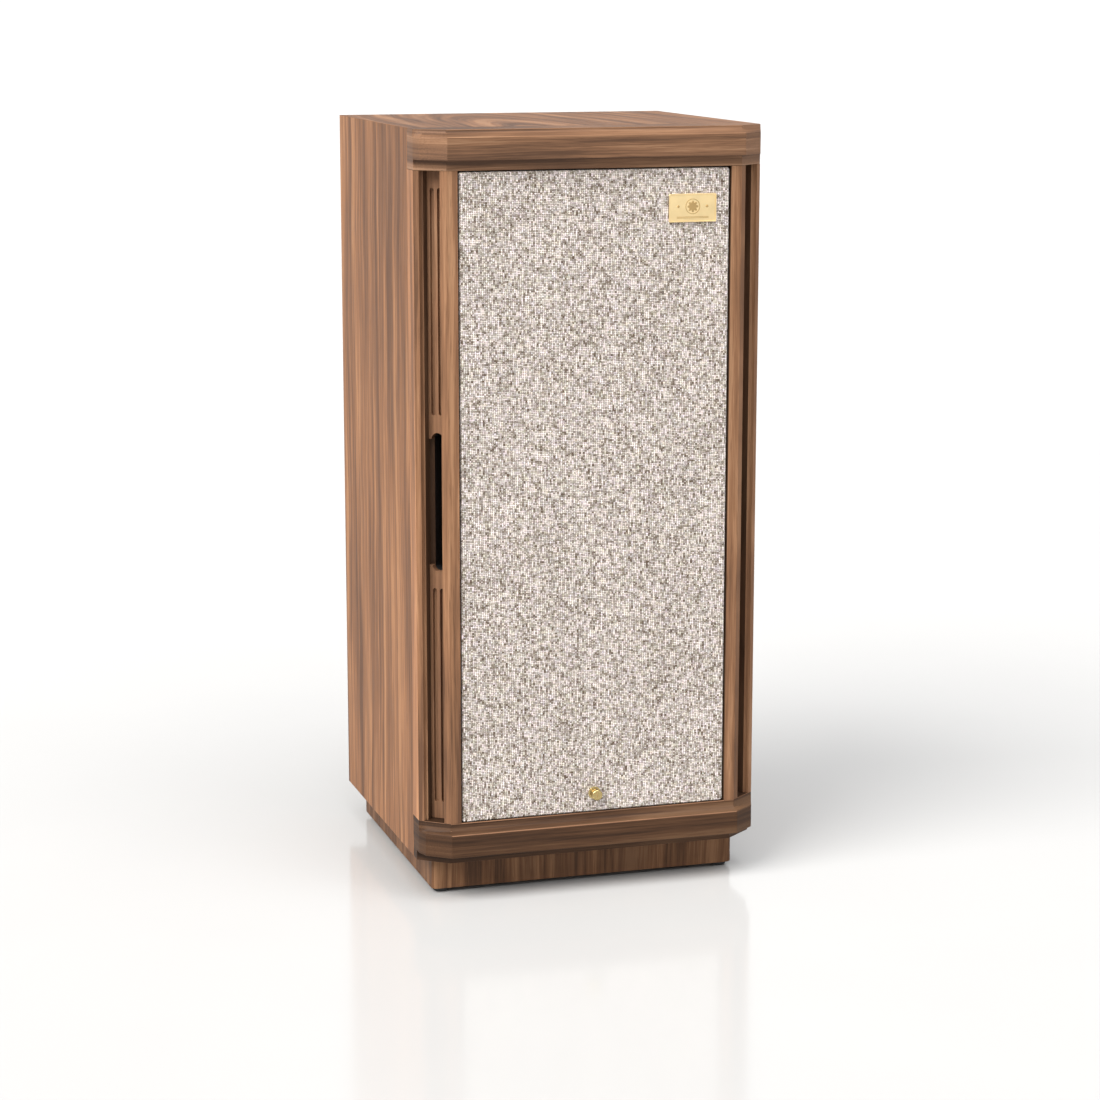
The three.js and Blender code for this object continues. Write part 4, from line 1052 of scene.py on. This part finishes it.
def make_inductor():
    """A spool of enamelled wire, standing on the board."""
    node = "crossover_inductor"
    r, bore, (bottom, top) = half_width(node), 12 * MM, span(node, 2)
    spool = [(bore, bottom), *near(r, bottom, (0, 0), (0, 1.6), (-3, 1.7), (-2.4, 5)),
             *near(r, top, (-2.4, -5), (-3, -1.7), (0, -1.6), (0, 0)), (bore, top)]
    centre = middle(node).x, middle(node).y
    turned("inductor_winding", spool, centre, "copper", "cabinet", node, ease=0.3 * MM, segments=72,
           axis="Z")


def make_capacitor():
    """A sleeved can with a rolled rim at each end."""
    node = "crossover_capacitor"
    r, (start, end) = half_width(node), span(node)
    rim = ((-3, 0.8), (-2.2, 0), (-1.0, 0), (0, 1.2))
    can = [*near(0, start, (0, 0.8)), *near(r, start, *rim), *near(r, end, *((a, -b) for a, b in rim[::-1])),
           *near(0, end, (0, -0.8))]
    turned("capacitor_can", can, box_centre(node), "sleeve", "cabinet", node, ease=0.4 * MM, segments=72,
           closed=False)


def make_wadding():
    """A soft crowned pad of wadding that pulls in between its corners."""
    low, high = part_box("rear_wadding")
    half, centre = (high - low) / 2, middle("rear_wadding")
    rng = random.Random(7)
    lumps = [(rng.uniform(-1, 1), rng.uniform(-1, 1), rng.uniform(0.1, 0.3)) for _ in range(26)]
    fit = 0.98  # of its box, across and up
    work = bmesh.new()
    bmesh.ops.create_cube(work, size=2.0)
    bmesh.ops.subdivide_edges(work, edges=work.edges, cuts=23, use_grid_fill=True)
    for vertex in work.verts:
        x, y, z = vertex.co
        crown = 1.0 - 0.55 * max(abs(x), abs(z)) ** 5
        lump = sum(w * math.exp(-((x - a) ** 2 + (z - b) ** 2) * 14) for a, b, w in lumps)
        thick = min(1.0, (0.80 + 0.28 * lump) * crown)
        pull = 1.0 - 0.05 * (1 - abs(x * z))
        vertex.co = (centre.x + x * half.x * (pull if abs(x) > 0.9 else 1) * fit,
                     centre.y + y * half.y * thick,
                     centre.z + z * half.z * (pull if abs(z) > 0.9 else 1) * fit)
    mesh = bpy.data.meshes.new("wadding_pad")
    work.to_mesh(mesh)
    work.free()
    pad = link("wadding_pad", mesh, "wadding", "cabinet", "rear_wadding", sharp=180)


# ---- studio ----
def make_studio():
    scene = bpy.context.scene
    scene.view_settings.view_transform = "Standard"
    world = bpy.data.worlds.new("studio")
    scene.world = world
    world.use_nodes = True
    tree = world.node_tree
    background = tree.nodes["Background"]
    # a white backdrop all round at eye height, and a dimmer ceiling
    direction = tree.nodes.new("ShaderNodeTexCoord").outputs["Generated"]
    height = tree.nodes.new("ShaderNodeSeparateXYZ")
    sky = tree.nodes.new("ShaderNodeMapRange")
    for key, value in (("From Min", 0.16), ("From Max", 0.6), ("To Min", BACKDROP), ("To Max", CEILING)):
        sky.inputs[key].default_value = value
    tree.links.new(direction, height.inputs[0])
    tree.links.new(height.outputs["Z"], sky.inputs["Value"])
    tree.links.new(sky.outputs[0], background.inputs["Strength"])
    background.inputs["Color"].default_value = (1.0, 1.0, 1.0, 1)

    s = Shader("studio_floor", 0.12, Specular_IOR_Level=0.5)
    shades = [(FLOOR_TONE - 0.004,) * 3, (FLOOR_TONE + 0.004,) * 3]
    s.colour(s.mix(s.spread(s.noise(s.place, 3.0, 2.0), 0.3, 0.7), *shades))
    size = 40.0
    corners = [(-size, -size, 0), (size, -size, 0), (size, size, 0), (-size, size, 0)]
    mesh = mesh_from(corners, [(0, 1, 2, 3)])
    mesh.materials.append(s.material)
    floor = place(bpy.data.objects.new("floor", mesh))

    def sun(name, azimuth, elevation, strength, spread, colour=(1, 1, 1)):
        """A soft sun from that side: azimuth 0 is in front, 90 on the left."""
        data = bpy.data.lights.new(name, "SUN")
        data.energy, data.angle, data.color = strength, math.radians(spread), colour
        lamp = place(bpy.data.objects.new(name, data))
        a, e = math.radians(azimuth), math.radians(elevation)
        towards = Vector((-math.sin(a) * math.cos(e), -math.cos(a) * math.cos(e), math.sin(e)))
        lamp.rotation_mode = "QUATERNION"
        lamp.rotation_quaternion = towards.to_track_quat("Z", "Y")

    sun("key", 62, 45, 5.0, 40, (1.0, 0.975, 0.94))
    sun("fill", -15, 65, 3.0, 50)


def make_camera():
    data = bpy.data.cameras.new("camera")
    data.lens, data.sensor_width = CAMERA_LENS, 36.0
    data.clip_start, data.clip_end = 0.05, 200
    camera = place(bpy.data.objects.new("camera", data))
    camera.location = CAMERA_PLACE
    camera.rotation_euler = (math.radians(90 + CAMERA_PITCH), 0, math.radians(CAMERA_YAW))
    bpy.context.scene.camera = camera


make_camera()
make_studio()
FINISHES = make_materials()
dress_case()
make_feet()
make_grille_cloth()
make_badge()
make_lock()
make_drive_unit()
make_controls()
make_terminals()
make_back_screws()
make_inside()
